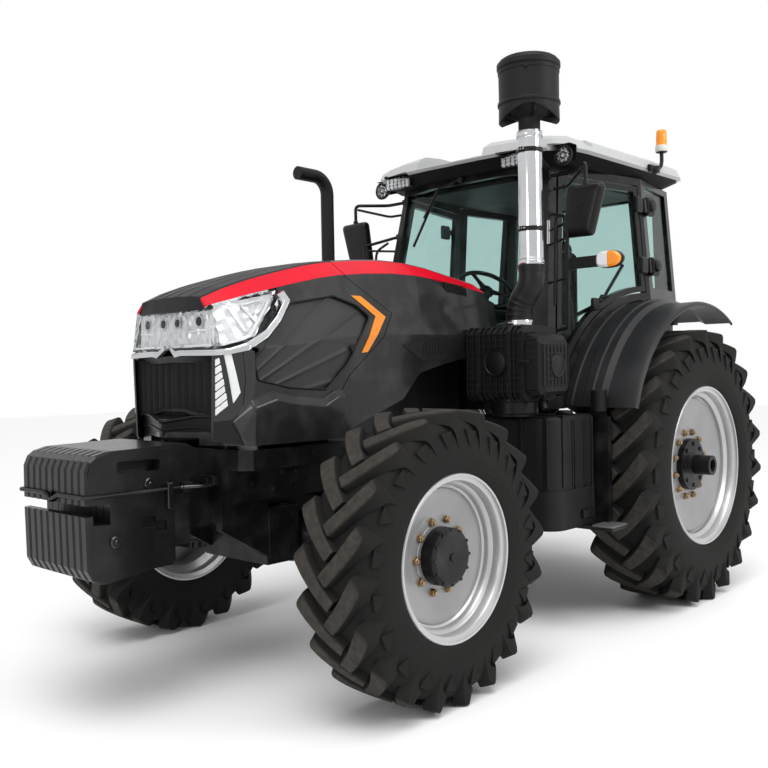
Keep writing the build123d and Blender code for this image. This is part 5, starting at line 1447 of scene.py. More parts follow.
# ------------------------------------------------------------ weights and frame
@dataclass
class FrontEnd:
    """Bolts, pins and brackets of the weights, the platform and the frame."""

    def build(self) -> None:
        """Adds the pieces of both sides."""
        bolts = []
        for x, z in ((3530, 1050), (3700, 820)):
            ring = turned_profile([(0.026, 0.0), (0.026, 0.005), (0.022, 0.009), (0.014, 0.009),
                                   (0.012, 0.004), (BORE, 0.004), (BORE, 0.0)], Axis.Y, at(x, 277.5, z), 28)
            bolts += [ring, cylinder(Axis.Y, at(x, 277.5, z), 0.010, 0.003, 0.014, 6, 0.002)]
        clasps = [slab((3420, 3448), (276, 300), (930, 1046), 6, Axis.X, 3),
                  slab((3826, 3848), (-9, 9), (984, 1030), 4, Axis.X, 2)]
        handle = tube(line((3380, 286, 1019), (3300, 330, 1019), (3240, 330, 1019)), 0.008, 0.02, 10)
        add("weight fittings", joined(bolts + clasps + [handle]).both_sides(), "chassis", "gloss")
        studs = [cylinder(Axis.Y, at(x, 301.5, z), 0.013, -0.004, 0.010, 6, 0.002)
                 for x, z in ((2700, 1040), (2700, 960), (2790, 1040), (2850, 960), (2980, 1000))]
        studs += [cylinder(Axis.Y, at(x, 251, z), 0.012, -0.004, 0.009, 6, 0.002)
                  for x, z in ((2680, 820), (2680, 620), (2800, 820), (2800, 620))]
        seam = [slab((2500, 3066), (429, 432), (1110, 1114), 1, Axis.Z)]
        plate = slab((2660, 2840), (249, 254), (590, 850), 14, Axis.Y, 2)
        latch = plate_xz([(2676, 1146), (2722, 1146), (2699, 1104)], 430, 437, 5, 1.5)
        clamp = [cylinder(Axis.X, at(3140, 190, 1020), 0.016, 0.0, 0.03, 8, 0.003),
                 slab((3126, 3160), (120, 240), (1000, 1046), 8, Axis.X, 3)]
        add("frame fittings", joined(studs + seam + [plate, latch] + clamp).both_sides(), "chassis",
            "chassis", bevel=0.001)
        hoses = []
        for k, (y0, z0, z1) in enumerate(((285, 900, 760), (262, 872, 720), (240, 846, 700))):
            hoses.append(tube(line((2200 + 30 * k, y0, z0 + 60), (2290, y0 + 40, z0), (2390, y0 + 90, z1),
                                   (2470, y0 + 160, z1 + 30)), 0.011, 0.06, 10))
        add("front hoses", joined(hoses).both_sides(), "chassis", "hose")


# ------------------------------------------------------------ air cleaner and pipe
@dataclass
class AirCleaner:
    """The gridded filter box with straps, latches and discs, on its canister, under the ribbed elbow."""

    x: tuple[float, float] = (1192.0, 1525.0)
    y: tuple[float, float] = (480.0, 985.0)
    z: tuple[float, float] = (1345.0, 1760.0)
    pipe: tuple[float, float] = (1330.0, 810.0)
    bore: float = 0.074
    ribs: int = 11
    rib_rise: float = 0.035
    cuff_rise: float = 0.05

    def section(self, y: float, inset: float, low: float, high: float,
                cut: float = 34.0) -> list[list[float]]:
        """The box's outline at a Y, with its corners cut."""
        x0, x1, z0, z1 = self.x[0] + inset, self.x[1] - inset, self.z[0] + low, self.z[1] - high
        corners = [(x0 + cut, z0), (x1 - cut, z0), (x1, z0 + cut), (x1, z1 - cut), (x1 - cut, z1),
                   (x0 + cut, z1), (x0, z1 - cut), (x0, z0 + cut)]
        return [[rx(x), y * MM, z * MM] for x, z in corners]

    def hoop(self, y0: float, y1: float, rise: float) -> Shape:
        """A band round the box."""
        return lofted(np.array([self.section(y0, -rise, -rise, -rise),
                                self.section(y1, -rise, -rise, -rise)]))

    def box(self) -> Shape:
        """The box with its hoops, ribs and end cap."""
        body = lofted(np.array([self.section(480, 6, 6, 6), self.section(872, 6, 6, 6)]))
        cap = lofted(np.array([self.section(868, 18, 24, 36), self.section(958, 18, 28, 54),
                               self.section(985, 38, 48, 78)]))
        hoops = [self.hoop(y, y + 8, 4.5) for y in range(486, 860, 41)] + [self.hoop(866, 878, 5)]
        hoops += [self.hoop(y, y + 26, 6.0) for y in (560, 770)]
        bars = []
        for z in np.arange(1392, 1730, 36):
            bars += [slab(x, y, (z, z + 6), 0, Axis.Y, 1.5) for x, y in (
                ((1519, 1530), (484, 868)), ((1190, 1198), (484, 868)), ((1496, 1509), (874, 948)))]
        for x in np.arange(1236, 1500, 36):
            bars.append(slab((x, x + 6), (484, 868), (1752, 1761), 0, Axis.Y, 1.5))
            bars.append(slab((x, x + 6), (980, 990), (1420, 1655), 0, Axis.Z, 1.5))
        bars += [slab((1250, 1478), (980, 990), (z, z + 6), 0, Axis.X, 1.5)
                 for z in np.arange(1424, 1650, 36)]
        return joined([body, cap] + hoops + bars)

    def discs(self) -> Shape:
        """The round plates on the front and on the outer end, with stepped rims."""
        front = [(BORE, 0.012), (0.062, 0.012), (0.066, 0.010), (0.070, 0.016), (0.078, 0.016),
                 (0.082, 0.004), (0.082, -0.01), (BORE, -0.01)]
        return turned_profile(front, Axis.X, at(1523, 690, 1560), 56) + turned_profile(
            [(r * 0.86, a * 0.6) for r, a in front], Axis.Y, at(1350, 984, 1538), 48)

    def fittings(self) -> Shape:
        """Latches, the drain spout and the canister."""
        parts = []
        for y in (572, 782):
            parts += [slab((1530, 1540), (y - 9, y + 9), (1372, 1440), 4, Axis.X, 2),
                      tube(line((1538, y, 1440), (1548, y, 1420), (1546, y, 1372)), 0.004, 0.006, 8),
                      cylinder(Axis.Y, at(1541, y, 1400), 0.007, -0.014, 0.014, 10, 0.002)]
        parts.append(slab((1530, 1542), (840, 920), (1552, 1566), 5, Axis.X, 3))
        drum = turned_profile([(BORE, 1.2505), (0.138, 1.2505), (0.140, 1.262), (0.132, 1.268),
                               (0.132, 1.330), (0.140, 1.336), (0.140, 1.350), (BORE, 1.350)], Axis.Z,
                              (rx(1358), 0.700, 0), 56)
        spout = tube(line((1400, 905, 1362), (1420, 935, 1325), (1428, 950, 1296)), 0.017, 0.02, 16)
        collar = cylinder(Axis.Z, at(1398, 900, 1352), 0.026, 0.0, 0.018, 20, 0.003)
        return joined(parts + [drum, spout, collar])

    def elbow(self) -> Shape:
        """The rubber elbow, ringed at even steps along its path."""
        x, y = self.pipe
        path = bent_line(line((x, 720, 1752), (x, 720, 1880), (x, y, 2010), (x, y, 2112)), 0.09, 14)
        path = smooth_line(path, 90)
        length = np.concatenate([[0], np.cumsum(np.linalg.norm(np.diff(path, axis=0), axis=1))])
        share = length / length[-1]
        ribbed = (np.sin(share * 2 * math.pi * self.ribs) > 0.55) & (share > 0.12) & (share < 0.55)
        cuffs = (share > 0.93) | (share < 0.08)
        swell = 1.0 + self.rib_rise * ribbed + self.cuff_rise * cuffs
        return swept(path, circle(self.bore, 40), (0, 1, 0.01), swell)

    def build(self) -> None:
        """Adds the pieces in place of the CAD cleaner."""
        add("filter box", self.box(), "chassis", "plastic", ("air_cleaner",), bevel=0.0012)
        add("filter discs", self.discs(), "chassis", "trim")
        add("filter fittings", self.fittings(), "chassis", "trim")
        add("elbow", self.elbow(), "chassis", "hose")
        x, _ = self.pipe
        band = turned_profile([(0.0745, 1.764), (0.0805, 1.764), (0.0815, 1.768), (0.0815, 1.796),
                               (0.0805, 1.800), (0.0745, 1.800)], Axis.Z, (rx(x), 0.720, 0), 56, True)
        add("elbow clamp", band + cylinder(Axis.Y, (rx(x) + 0.083, 0.720, 1.782), 0.007, -0.018, 0.018, 12,
                                           0.002),
            "chassis", "chrome")


@dataclass
class IntakePipe:
    """The chrome pipe with end bands, clamps and stays, and the pre-cleaner on top."""

    x: float = 1330.0
    y: float = 810.0
    arch_facing: float = math.radians(33.5)
    arch_reach: float = math.radians(66)
    arch_rise: float = 0.078

    def ring(self, z0: float, z1: float, radius: float, inner: float = 68.0) -> Shape:
        """A band round the pipe with eased edges."""
        return turned_profile([(inner * MM, z0 * MM), ((radius - 1) * MM, z0 * MM),
                               (radius * MM, (z0 + 2) * MM), (radius * MM, (z1 - 2) * MM),
                               ((radius - 1) * MM, z1 * MM), (inner * MM, z1 * MM)],
                              Axis.Z, (rx(self.x), self.y * MM, 0), 64, True)

    def cleaner(self) -> Shape:
        """The pre-cleaner: ridged cap, banded drum, and a skirt whose lower edge rises to two points."""
        centre = (rx(self.x), self.y * MM, 0)
        top = [(BORE, 3.288), (0.060, 3.2875), (0.120, 3.284), (0.150, 3.279), (0.164, 3.270),
               (0.169, 3.258), (0.176, 3.256), (0.180, 3.250), (0.180, 3.226), (0.176, 3.220),
               (0.172, 3.218), (0.172, 3.205), (0.1745, 3.203), (0.1745, 3.196), (0.171, 3.194),
               (0.170, 3.036), (0.176, 3.034), (0.178, 3.028), (0.178, 3.018), (0.174, 3.012),
               (0.171, 3.010), (0.150, 3.000), (BORE, 3.000)]
        drum = turned_profile(top, Axis.Z, centre, 88)
        turn = np.linspace(0, 2 * math.pi, 120, endpoint=False)
        away = np.abs((turn - self.arch_facing + math.pi / 2) % math.pi - math.pi / 2)
        arch = self.arch_rise * np.clip(1 - away / self.arch_reach, 0, 1)
        rings = []
        for angle, lift in zip(turn, arch):
            low = 2.922 + lift
            wall = [(0.171, 3.014), (0.171, 2.99), (0.172, low + 0.004), (0.170, low), (0.163, low),
                        (0.161, low + 0.004), (0.160, 3.0), (0.160, 3.014)]
            rings.append([(centre[0] + r * math.cos(angle), centre[1] + r * math.sin(angle), z)
                          for r, z in wall])
        skirt = grid(np.array(rings), True, True).outward()
        cone = turned_profile([(BORE, 3.004), (0.150, 3.004), (0.118, 2.966), (0.066, 2.940), (0.062, 2.930),
                               (0.062, 2.8705), (BORE, 2.8705)], Axis.Z, centre, 56)
        leg = lofted(np.array([[(centre[0] + out, centre[1] + y, z)
                                for y, z in ((-0.004, low), (0.004, low), (0.004, 3.0), (-0.004, 3.0))]
                               for out, low in ((0.05, 2.935), (0.162, 2.952))]))
        legs = ringed(4, centre, Axis.Z, lambda i: leg, math.pi / 4)
        tab = slab((self.x + 170, self.x + 181), (self.y - 10, self.y + 10), (3186, 3204), 2, Axis.X, 1.5)
        tabs = ringed(3, centre, Axis.Z, lambda i: tab, 0.5)
        return joined([drum, skirt, cone, legs, tabs])

    def build(self) -> None:
        """Adds pipe, bands, clamps and pre-cleaner."""
        centre = (rx(self.x), self.y * MM, 0)
        pipe = turned_profile([(0.066, 2.1105), (0.0705, 2.1105), (0.0705, 2.8695), (0.066, 2.8695)],
                              Axis.Z, centre, 72, True)
        bands = [self.ring(2113, 2136, 75), self.ring(2142, 2150, 72.5), self.ring(2838, 2866, 75),
                 self.ring(2826, 2833, 72.5)]
        add("chrome pipe", joined([pipe] + bands), "chassis", "chrome", ("intake_pipe",))
        clamps, stays = [], []
        for z in (2315, 2760):
            clamps.append(self.ring(z - 13, z + 13, 76.5))
            clamps += [slab((self.x + 76, self.x + 92), (self.y - 14, self.y - 8), (z - 13, z + 13), 3,
                            Axis.Y, 1),
                       slab((self.x + 76, self.x + 92), (self.y + 2, self.y + 8), (z - 13, z + 13), 3,
                            Axis.Y, 1)]
            stays.append(cylinder(Axis.Y, at(self.x + 85, self.y - 3, z), 0.005, -0.022, 0.020, 8, 0.001))
            foot = 980 - (z - 2315) * 0.18
            clamps.append(lofted(np.array([line((self.x - 66, self.y + 10, z - 8),
                                                (self.x - 66, self.y - 30, z - 8),
                                                (self.x - 66, self.y - 30, z + 8),
                                                (self.x - 66, self.y + 10, z + 8)),
                                           line((foot, 668, z - 8), (foot, 628, z - 8), (foot, 628, z + 8),
                                                (foot, 668, z + 8))])))
        add("pipe clamps", joined(clamps), "chassis", "chassis", bevel=0.001)
        add("clamp bolts", joined(stays), "chassis", "steel")
        add("pre-cleaner", self.cleaner(), "chassis", "plastic", ("precleaner",))


# ------------------------------------------------------------ cab
CAB_ROWS = ((1300, 1080, 745, -60, 905, -600, 830, 100), (2800, 800, 600, -40, 790, -630, 700, 90))
ROOF_PLAN = ((1062, 230), (1050, 420), (1010, 590), (940, 725), (850, 800), (700, 823), (-540, 850),
             (-640, 805), (-682, 700))


def cab_row(z: float) -> list[float]:
    """The cab's plan sizes at a height in millimetres."""
    low, high = CAB_ROWS
    t = (z - low[0]) / (high[0] - low[0])
    return [p + t * (q - p) for p, q in zip(low[1:], high[1:])]


def door_y(x: float, z: float) -> float:
    """Y of the cab's side between the A pillar and the door pillar."""
    xa, ya, xb, yb = cab_row(z)[:4]
    return ya + (yb - ya) * (xa - x) / (xa - xb)


def screen_x(y: float, z: float) -> float:
    """Forward place of the windscreen at a Y and height."""
    xa, ya, _, _, _, _, bulge = cab_row(z)
    return xa + bulge * min(max((ya - abs(y)) / (ya - 280), 0.0), 1.0)


def roof_ring(z: float, inset: float) -> list[tuple[float, float, float]]:
    """The roof's outline at a height, moved inward, in metres."""
    half = [(x - (inset if x > 0 else -inset), y - (inset if y > 300 else 0)) for x, y in ROOF_PLAN]
    return [at(x, y, z) for x, y in half] + [at(x, -y, z) for x, y in reversed(half)]


@dataclass
class Cab:
    """Roof skirt, hinge covers, handles, wiper, pillar fittings and what shows inside the cab."""

    def roof(self) -> None:
        """The dark skirt under the roof's shell, near-black sheets in its lamp recesses as painted shade, and
        the small fittings.
        """
        skirt = lofted(np.array([roof_ring(2799.0, 104), roof_ring(2801.5, 104), roof_ring(2852, 22)]))
        # near-black sheets line the lamp recesses: painted shade, so that the recesses fall dark
        recess_shade_sheets = []
        for y0, y1, x0, x1, top in ((368, 612, 945, 1010, 2872), (682, 800, 800, 880, 2890)):
            recess_shade_sheets += [slab((x0, x0 + 3), (y0, y1), (2803, top), 0, Axis.Z),
                       slab((x0, x1), (y0, y1), (top - 3, top))]
        brow = ribbon([(1000, 372, 2884), (1004, 612, 2884)], [(1046, 372, 2872), (1012, 612, 2872)],
                      (-6, 0, -3))
        add("roof skirt", skirt + joined(recess_shade_sheets + [brow]).both_sides(), "chassis", "seal")
        vents = joined([turned_profile([(BORE, 0.010), (0.018, 0.010), (0.022, 0.004), (0.022, -0.006),
                                        (BORE, -0.006)], Axis.Z, at(x, y, 2985), 24)
                        for x, y in ((640, 300), (200, 480), (-420, 480))])
        add("roof fittings", vents, "chassis", "trim")

    def doors(self) -> None:
        """Hinge covers on the frame, and the hinge shells, handle and bars of each door."""
        covers, shells = [], []
        for z in (2200, 2610):
            y = cab_row(z)[3]
            base = slab((-142, -44), (y - 6, y + 46), (z - 62, z + 62), 26, Axis.X, 10, 5)
            knob = turned_profile([(BORE, 0.040), (0.030, 0.038), (0.038, 0.028), (0.038, -0.01),
                                   (BORE, -0.01)],
                                  Axis.Y, at(-92, y + 26, z), 28)
            covers += [base, knob]
            shells.append(slab((20, 112), (y + 6, y + 42), (z - 54, z + 54), 22, Axis.X, 10, 5))
        add("hinge covers", joined(covers).both_sides(), "chassis", "trim", bevel=0.002)
        for side in Side:
            add(f"hinge shells {side.word}", joined(shells).on(side), f"door_{side.word}", "trim",
                bevel=0.002)
            x = 560.0
            y, y_low = door_y(x, 1930), door_y(x, 1900)
            lock = [slab((x - 60, x + 20), (y + 1, y + 24), (1895, 1965), 16, Axis.Y, 5),
                    tube(line((x - 50, y + 20, 1902), (x - 48, y + 46, 1900), (x + 30, y_low + 44, 1890),
                              (x + 34, y_low + 16, 1890)), 0.009, 0.012)]
            add(f"door handle {side.word}", joined(lock).on(side), f"door_{side.word}", "trim")
            strut, grip = ([(x, door_y(x, z) - inward, z) for x, z, inward in places] for places in (
                ((170, 2200, 34), (400, 1960, 40), (690, 1640, 40)),
                ((690, 1800, 30), (660, 1850, 60), (430, 1930, 60), (400, 1990, 34))))
            strut, grip = tube(line(*strut), 0.011, 0.12, 12), tube(line(*grip), 0.013, 0.06, 12)
            add(f"door bars {side.word}", (strut + grip).on(side), f"door_{side.word}", "trim")

    def wiper(self) -> None:
        """The wiper: pivot, bent arm and blade."""
        parts = []
        x_top = screen_x(11, 2740)
        parts.append(tube(line((x_top + 18, -11, 2790), (screen_x(201, 2741) + 26, -201, 2741),
                               (screen_x(300, 2560) + 24, -300, 2560)), 0.008, 0.02, 10))
        parts.append(tube(line((screen_x(215, 2716) + 14, -215, 2716),
                               (screen_x(396, 2376) + 14, -396, 2376)), 0.009,
                          0.01, 8))
        pivot = cylinder(Axis.X, at(x_top + 8, -11, 2786), 0.024, -0.02, 0.02, 20, 0.004)
        add("wiper", joined(parts + [pivot]), "chassis", "trim")

    def pillars(self) -> None:
        """The pale patch on one pillar, the rungs out to the mirror posts, and the cups beside the steps."""
        sections, rungs = [], []
        for z in (2290, 2440):
            x, y = cab_row(z)[:2]
            sections.append(line((x + 6, y - 6, z), (x - 8, y + 5, z), (x - 12, y - 2, z), (x, y - 12, z)))
        add("pillar patch", lofted(np.array(sections)), "chassis", "white")
        for z in (2060, 2300, 2390):
            x, y = cab_row(z)[:2]
            rungs.append(tube(line((x - 10, y + 6, z - 14), (985, 838, z)), 0.008, 0.01, 10))
        add("post rungs", joined(rungs).both_sides(), "chassis", "chassis")
        cup = turned_profile([(BORE, 1.262), (0.043, 1.262), (0.046, 1.268), (0.047, 1.374), (0.049, 1.378),
                              (0.049, 1.386), (0.044, 1.388), (0.041, 1.300), (BORE, 1.298)], Axis.Z,
                             at(925, 1000, 0), 40)
        add("step cup", cup.both_sides(), "chassis", "plastic")

    def steering(self) -> None:
        """The steering wheel on its column, with the panel behind it."""
        centre = at(660, 0, 2060)
        tilt = math.radians(-35)
        radius, thick = 0.195, 0.0145
        turn = np.linspace(0, 2 * math.pi, 64, endpoint=False)[:, None]
        round_rim = np.linspace(0, 2 * math.pi, 14, endpoint=False)[None]
        out = radius + thick * np.cos(round_rim)
        height = np.broadcast_to(centre[2] + thick * np.sin(round_rim), (64, 14))
        rim = grid(np.stack([centre[0] + out * np.cos(turn), out * np.sin(turn), height], axis=-1), True,
                   True).outward()
        hub = turned_profile([(BORE, 0.022), (0.034, 0.020), (0.048, 0.010), (0.052, -0.018), (BORE, -0.02)],
                             Axis.Z, centre, 40)
        spoke = lofted(np.array([[(centre[0] + r, a * w, centre[2] + b * h)
                                  for a, b in ((-1, -1), (1, -1), (1, 1), (-1, 1))]
                                 for r, w, h in ((0.04, 0.02, 0.008), (0.11, 0.012, 0.006),
                                                 (0.192, 0.014, 0.006))]))
        spokes = ringed(3, centre, Axis.Z, lambda i: spoke, 0.0)
        wheel = (rim + hub + spokes).turned(tilt, Axis.Y, centre)
        column = tube(line((900, 0, 1790), (790, 0, 1880), (672, 0, 2046)), 0.040, 0.1, 24)
        panel = slab((830, 1000), (-165, 165), (1700, 1806), 30, Axis.X, 8)
        base = slab((850, 1000), (-140, 140), (1320, 1705), 24, Axis.Z, 6)
        add("steering", joined([wheel, column, panel, base]), "chassis", "trim", ("controls",), bevel=0.001)

    def console(self) -> None:
        """The side console with its levers and red knobs."""
        console = slab((-120, 420), (-470, -300), (1320, 1900), 30, Axis.Y, 10)
        arm = slab((-60, 360), (-360, -280), (1905, 1965), 18, Axis.X, 12)
        levers = [tube(line((x, -380, 1890), (x + 10, -384, 1960), (x + 26, -386, 2010)), 0.006, 0.02, 8)
                  for x in (180, 240, 300, 350)]
        knobs = [turned_profile([(BORE, 0.028), (0.014, 0.024), (0.018, 0.010), (0.012, -0.012),
                                 (BORE, -0.014)],
                                Axis.Z, at(x + 26, -386, 2016), 16) for x in (180, 240, 300, 350)]
        add("side console", joined([console, arm] + levers), "chassis", "plastic", bevel=0.003)
        add("lever knobs", joined(knobs), "chassis", "red")

    def headlining(self) -> None:
        """The headlining, and the fan that hangs from it."""
        liner = slab((-560, 690), (-540, 540), (2762, 2797), 60, Axis.Z, 6)
        fan = turned_profile([(BORE, 0.03), (0.03, 0.03), (0.075, 0.012), (0.080, 0.0), (0.075, -0.012),
                              (BORE, -0.02)], Axis.X, at(-520, -120, 2440), 32)
        stalk = tube(line((-540, -120, 2740), (-540, -120, 2500), (-520, -120, 2440)), 0.008, 0.03, 8)
        add("headlining", joined([liner, fan, stalk]), "chassis", "plastic")

    def build(self) -> None:
        """Adds every piece of the cab."""
        self.roof()
        self.doors()
        self.wiper()
        self.pillars()
        self.steering()
        self.console()
        self.headlining()


@dataclass
class Seat:
    """The padded seat: two cushions blown up in a cloth simulation, on a moulded base."""

    voxel: float = 0.006
    pressure: float = 4.0
    frames: int = 20

    def cushion(self, name: str, x: tuple[float, float], y: float, z: tuple[float, float],
                cap: Callable[[Array], Array]) -> None:
        """One cushion.

        Args:
            name: its name.
            x: from back to front.
            y: half its width.
            z: from bottom to top.
            cap: moves the finished points, to keep what the simulation may not pass.
        """
        shape = slab(x, (-y, y), z, 45, Axis.Y, 22, 6)
        obj = add(name, shape, "chassis", "fabric", sharp=180)
        self.inflate(obj)
        points = np.empty(len(obj.data.vertices) * 3, np.float32)
        obj.data.vertices.foreach_get("co", points)
        points = cap(points.reshape(-1, 3).astype(float))
        obj.data.vertices.foreach_set("co", points.astype(np.float32).ravel())
        obj.data.update()
        obj.data.shade_smooth()

    def inflate(self, obj: bpy.types.Object) -> None:
        """Remeshes a cushion, blows it up as cloth and keeps the result."""
        remesh = obj.modifiers.new("Even", "REMESH")
        remesh.mode, remesh.voxel_size = "VOXEL", self.voxel
        self.bake(obj)
        cloth = obj.modifiers.new("Air", "CLOTH")
        cloth.settings.quality = 4
        cloth.settings.use_pressure = True
        cloth.settings.uniform_pressure_force = self.pressure
        cloth.settings.tension_stiffness = 20.0
        cloth.settings.bending_stiffness = 2.0
        cloth.settings.effector_weights.gravity = 0.0
        scene = bpy.context.scene
        for number in range(1, self.frames + 1):
            scene.frame_set(number)
        self.bake(obj)
        scene.frame_set(1)

    def bake(self, obj: bpy.types.Object) -> None:
        """Puts the mesh that the modifiers make in place of the object's own."""
        graph = bpy.context.evaluated_depsgraph_get()
        made = bpy.data.meshes.new_from_object(obj.evaluated_get(graph))
        obj.modifiers.clear()
        obj.data = made

    def build(self) -> None:
        """Adds cushions, base and back shell in place of the CAD seat."""
        limit_low, limit_high = rx(-90), rx(425)

        def pad(points: Array) -> Array:
            """Two sewn channels across the seat's top."""
            for x in (60.0, 230.0):
                dip = np.exp(-((points[:, 0] - rx(x)) / 0.012) ** 2) * (points[:, 2] > 1.78)
                points[:, 2] -= 0.012 * dip
            points[:, 0] = np.clip(points[:, 0], limit_low, limit_high)
            return points

        def back(points: Array) -> Array:
            """Two sewn channels down the backrest's front, and a taper upwards."""
            for y in (-0.13, 0.13):
                dip = np.exp(-((points[:, 1] - y) / 0.012) ** 2) * (points[:, 0] > rx(-90))
                points[:, 0] -= 0.010 * dip
            share = np.clip((points[:, 2] - 1.80) / 0.6, 0, 1)
            points[:, 1] *= 1 - 0.16 * share
            points[:, 0] -= 0.05 * share * 0.6
            return points

        self.cushion("seat cushion", (-75, 412), 238, (1712, 1822), pad)
        self.cushion("seat back", (-150, -62), 226, (1790, 2400), back)
        base = lofted(np.array([line((20 - w, -w, z), (300 + w, -w, z), (300 + w, w, z), (20 - w, w, z))
                                for w, z in ((120, 1320), (110, 1360), (95, 1420), (125, 1560), (170, 1690),
                                             (180, 1712))]))
        folds = [slab((20 - w - 8, 300 + w + 8), (-w - 8, w + 8), (z, z + 14), 30, Axis.Z, 5)
                 for w, z in ((104, 1440), (108, 1475), (114, 1510), (122, 1545))]
        shell = slab((-176, -150), (-215, 215), (1780, 2370), 60, Axis.X, 6)
        add("seat base", joined([base, shell] + folds), "chassis", "plastic", ("seat",), bevel=0.002)


@dataclass
class Fittings:
    """Lamps, beacon, mirror faces, tank straps and steps."""

    def cup(self, place: Sequence[float], foot: float, rim: float, depth: float) -> Shape:
        """One small reflector cup, open forwards."""
        lip = rim + 0.001
        section = [(BORE, -0.001), (foot, 0.0), (rim, depth), (lip, depth), (lip, -0.004), (BORE, -0.004)]
        return turned_profile(section, Axis.X, place, 12)

    def work_lamp(self) -> tuple[list[Shape], list[Shape], list[Shape]]:
        """Housing, cups and lens of the long work lamp, with its three rows of six cups."""
        body = [slab((968, 1000), (380, 600), (2786, 2858), 8, Axis.X, 3),
                slab((975, 995), (478, 502), (2850, 2871), 3, Axis.Z, 1)]
        cups = [self.cup(at(1002, 402 + column * 35, 2799 + row * 22), 0.006, 0.0135, 0.007)
                for row in range(3) for column in range(6)]
        return body, cups, [slab((1000, 1013), (384, 596), (2789, 2855), 7, Axis.X, 3)]

    def round_lamp(self) -> tuple[list[Shape], list[Shape], list[Shape]]:
        """Housing, cups and lens of the round lamp, with one cup amid a ring of eight."""
        y, z = 752, 2822
        body = [turned_profile([(BORE, -0.048), (0.036, -0.046), (0.060, -0.012), (0.063, 0.0),
                                (0.063, 0.004), (0.058, 0.004), (BORE, -0.02)], Axis.X, at(878, y, z), 40),
                slab((850, 870), (y - 10, y + 10), (2860, 2889), 3, Axis.Z, 1)]
        cups = []
        for r, count in ((0, 1), (36, 8)):
            for k in range(count):
                a = 2 * math.pi * k / count
                cups.append(self.cup(at(871, y + r * math.cos(a), z + r * math.sin(a)), 0.005, 0.0115, 0.006))
        lens = turned_profile([(BORE, 0.007), (0.036, 0.005), (0.056, 0.001), (0.056, -0.003),
                               (BORE, -0.003)],
                              Axis.X, at(880, y, z), 40)
        return body, cups, [lens]

    def lamps(self) -> None:
        """Work lamps, round roof lamps and turn lamps in place of the CAD lamps."""
        body, cups, lens = (first + second for first, second in zip(self.work_lamp(), self.round_lamp()))
        half = ((1037, 10), (1044, 32), (1066, 46), (1110, 49), (1160, 44), (1188, 26))
        drop = [*half, (1199, 0), *((y, -h) for y, h in reversed(half))]
        outline = smooth_line(np.array([(y, 2145 + h) for y, h in drop]) * MM, 48, True)
        shell = extruded(outline, Axis.X, rx(955), rx(988), 0.006)
        face = extruded(inset(outline, 0.003), Axis.X, rx(986), rx(1018), 0.012)
        body += [shell, slab((972, 984), (849.5, 1046), (2108, 2176), 4, Axis.X, 2)]
        add("lamp bodies", joined(body).both_sides(), "chassis", "trim", ("lamps",))
        # the reflector cups take the pale crystal paint: painted reflection in place of chrome
        add("lamp cups", joined(cups).both_sides(), "chassis", "crystal")
        add("lamp lenses", joined(lens).both_sides(), "chassis", "lens")
        split = (outline[:, 0].min() + outline[:, 0].max()) / 2
        for word, finish, keep, edge in (("clear", "frost", np.minimum, split - 0.001),
                                         ("amber", "orange", np.maximum, split + 0.001)):
            points = face.points.copy()
            points[:, 1] = keep(points[:, 1], edge)
            half_face = Shape(points, face.faces, face.paints)
            add(f"turn lamp {word}", half_face.both_sides(), "chassis", finish, sharp=20)

    def beacon(self) -> None:
        """The beacon: bent black tube with its clamp, white foot and ribbed amber dome."""
        eave = 823 + 760 * 27 / 1240  # Y of the roof's edge where the clamp sits
        stem = tube(line((-60, eave + 13.3, 2868), (-140, 882, 2868), (-180, 882, 2908), (-180, 882, 2986)),
                    0.013, 0.03, 20)
        clamp = [slab((-96, -44), (eave + 2, eave + 30), (2842, 2892), 12, Axis.X, 4),
                 turned_profile([(BORE, 0.03), (0.024, 0.024), (0.030, 0.01), (0.028, -0.02),
                                 (BORE, -0.03)],
                                Axis.Z, at(-118, 868, 2862), 24),
                 turned_profile([(BORE, 2.980), (0.018, 2.980), (0.036, 2.986), (0.038, 2.992),
                                 (BORE, 2.992)],
                                Axis.Z, at(-180, 882, 0), 32)]
        add("beacon stem", joined([stem] + clamp), "chassis", "trim", ("beacon",))
        foot = turned_profile([(BORE, 2.990), (0.040, 2.990), (0.042, 2.994), (0.042, 3.028), (0.040, 3.032),
                               (BORE, 3.032)], Axis.Z, at(-180, 882, 0), 40)
        add("beacon foot", foot, "chassis", "white")
        turn = np.linspace(0, 2 * math.pi, 96, endpoint=False)
        rows = [(0.0360, 3.0325), (0.0360, 3.06), (0.0352, 3.062), (0.0358, 3.064), (0.0352, 3.10),
                (0.034, 3.126), (0.030, 3.136), (0.020, 3.140), (0.001, 3.141)]
        x, y, _ = at(-180, 882, 0)
        raised = np.arange(len(turn)) % 4 < 2
        rings = []
        for r, z in rows:
            ribbed = r * (1 + 0.012 * raised * (r > 0.03))
            rings.append(np.stack([x + ribbed * np.cos(turn), y + ribbed * np.sin(turn),
                                   np.full(len(turn), z)], axis=1))
        add("beacon dome", lofted(np.array(rings)), "chassis", "orange", sharp=60)

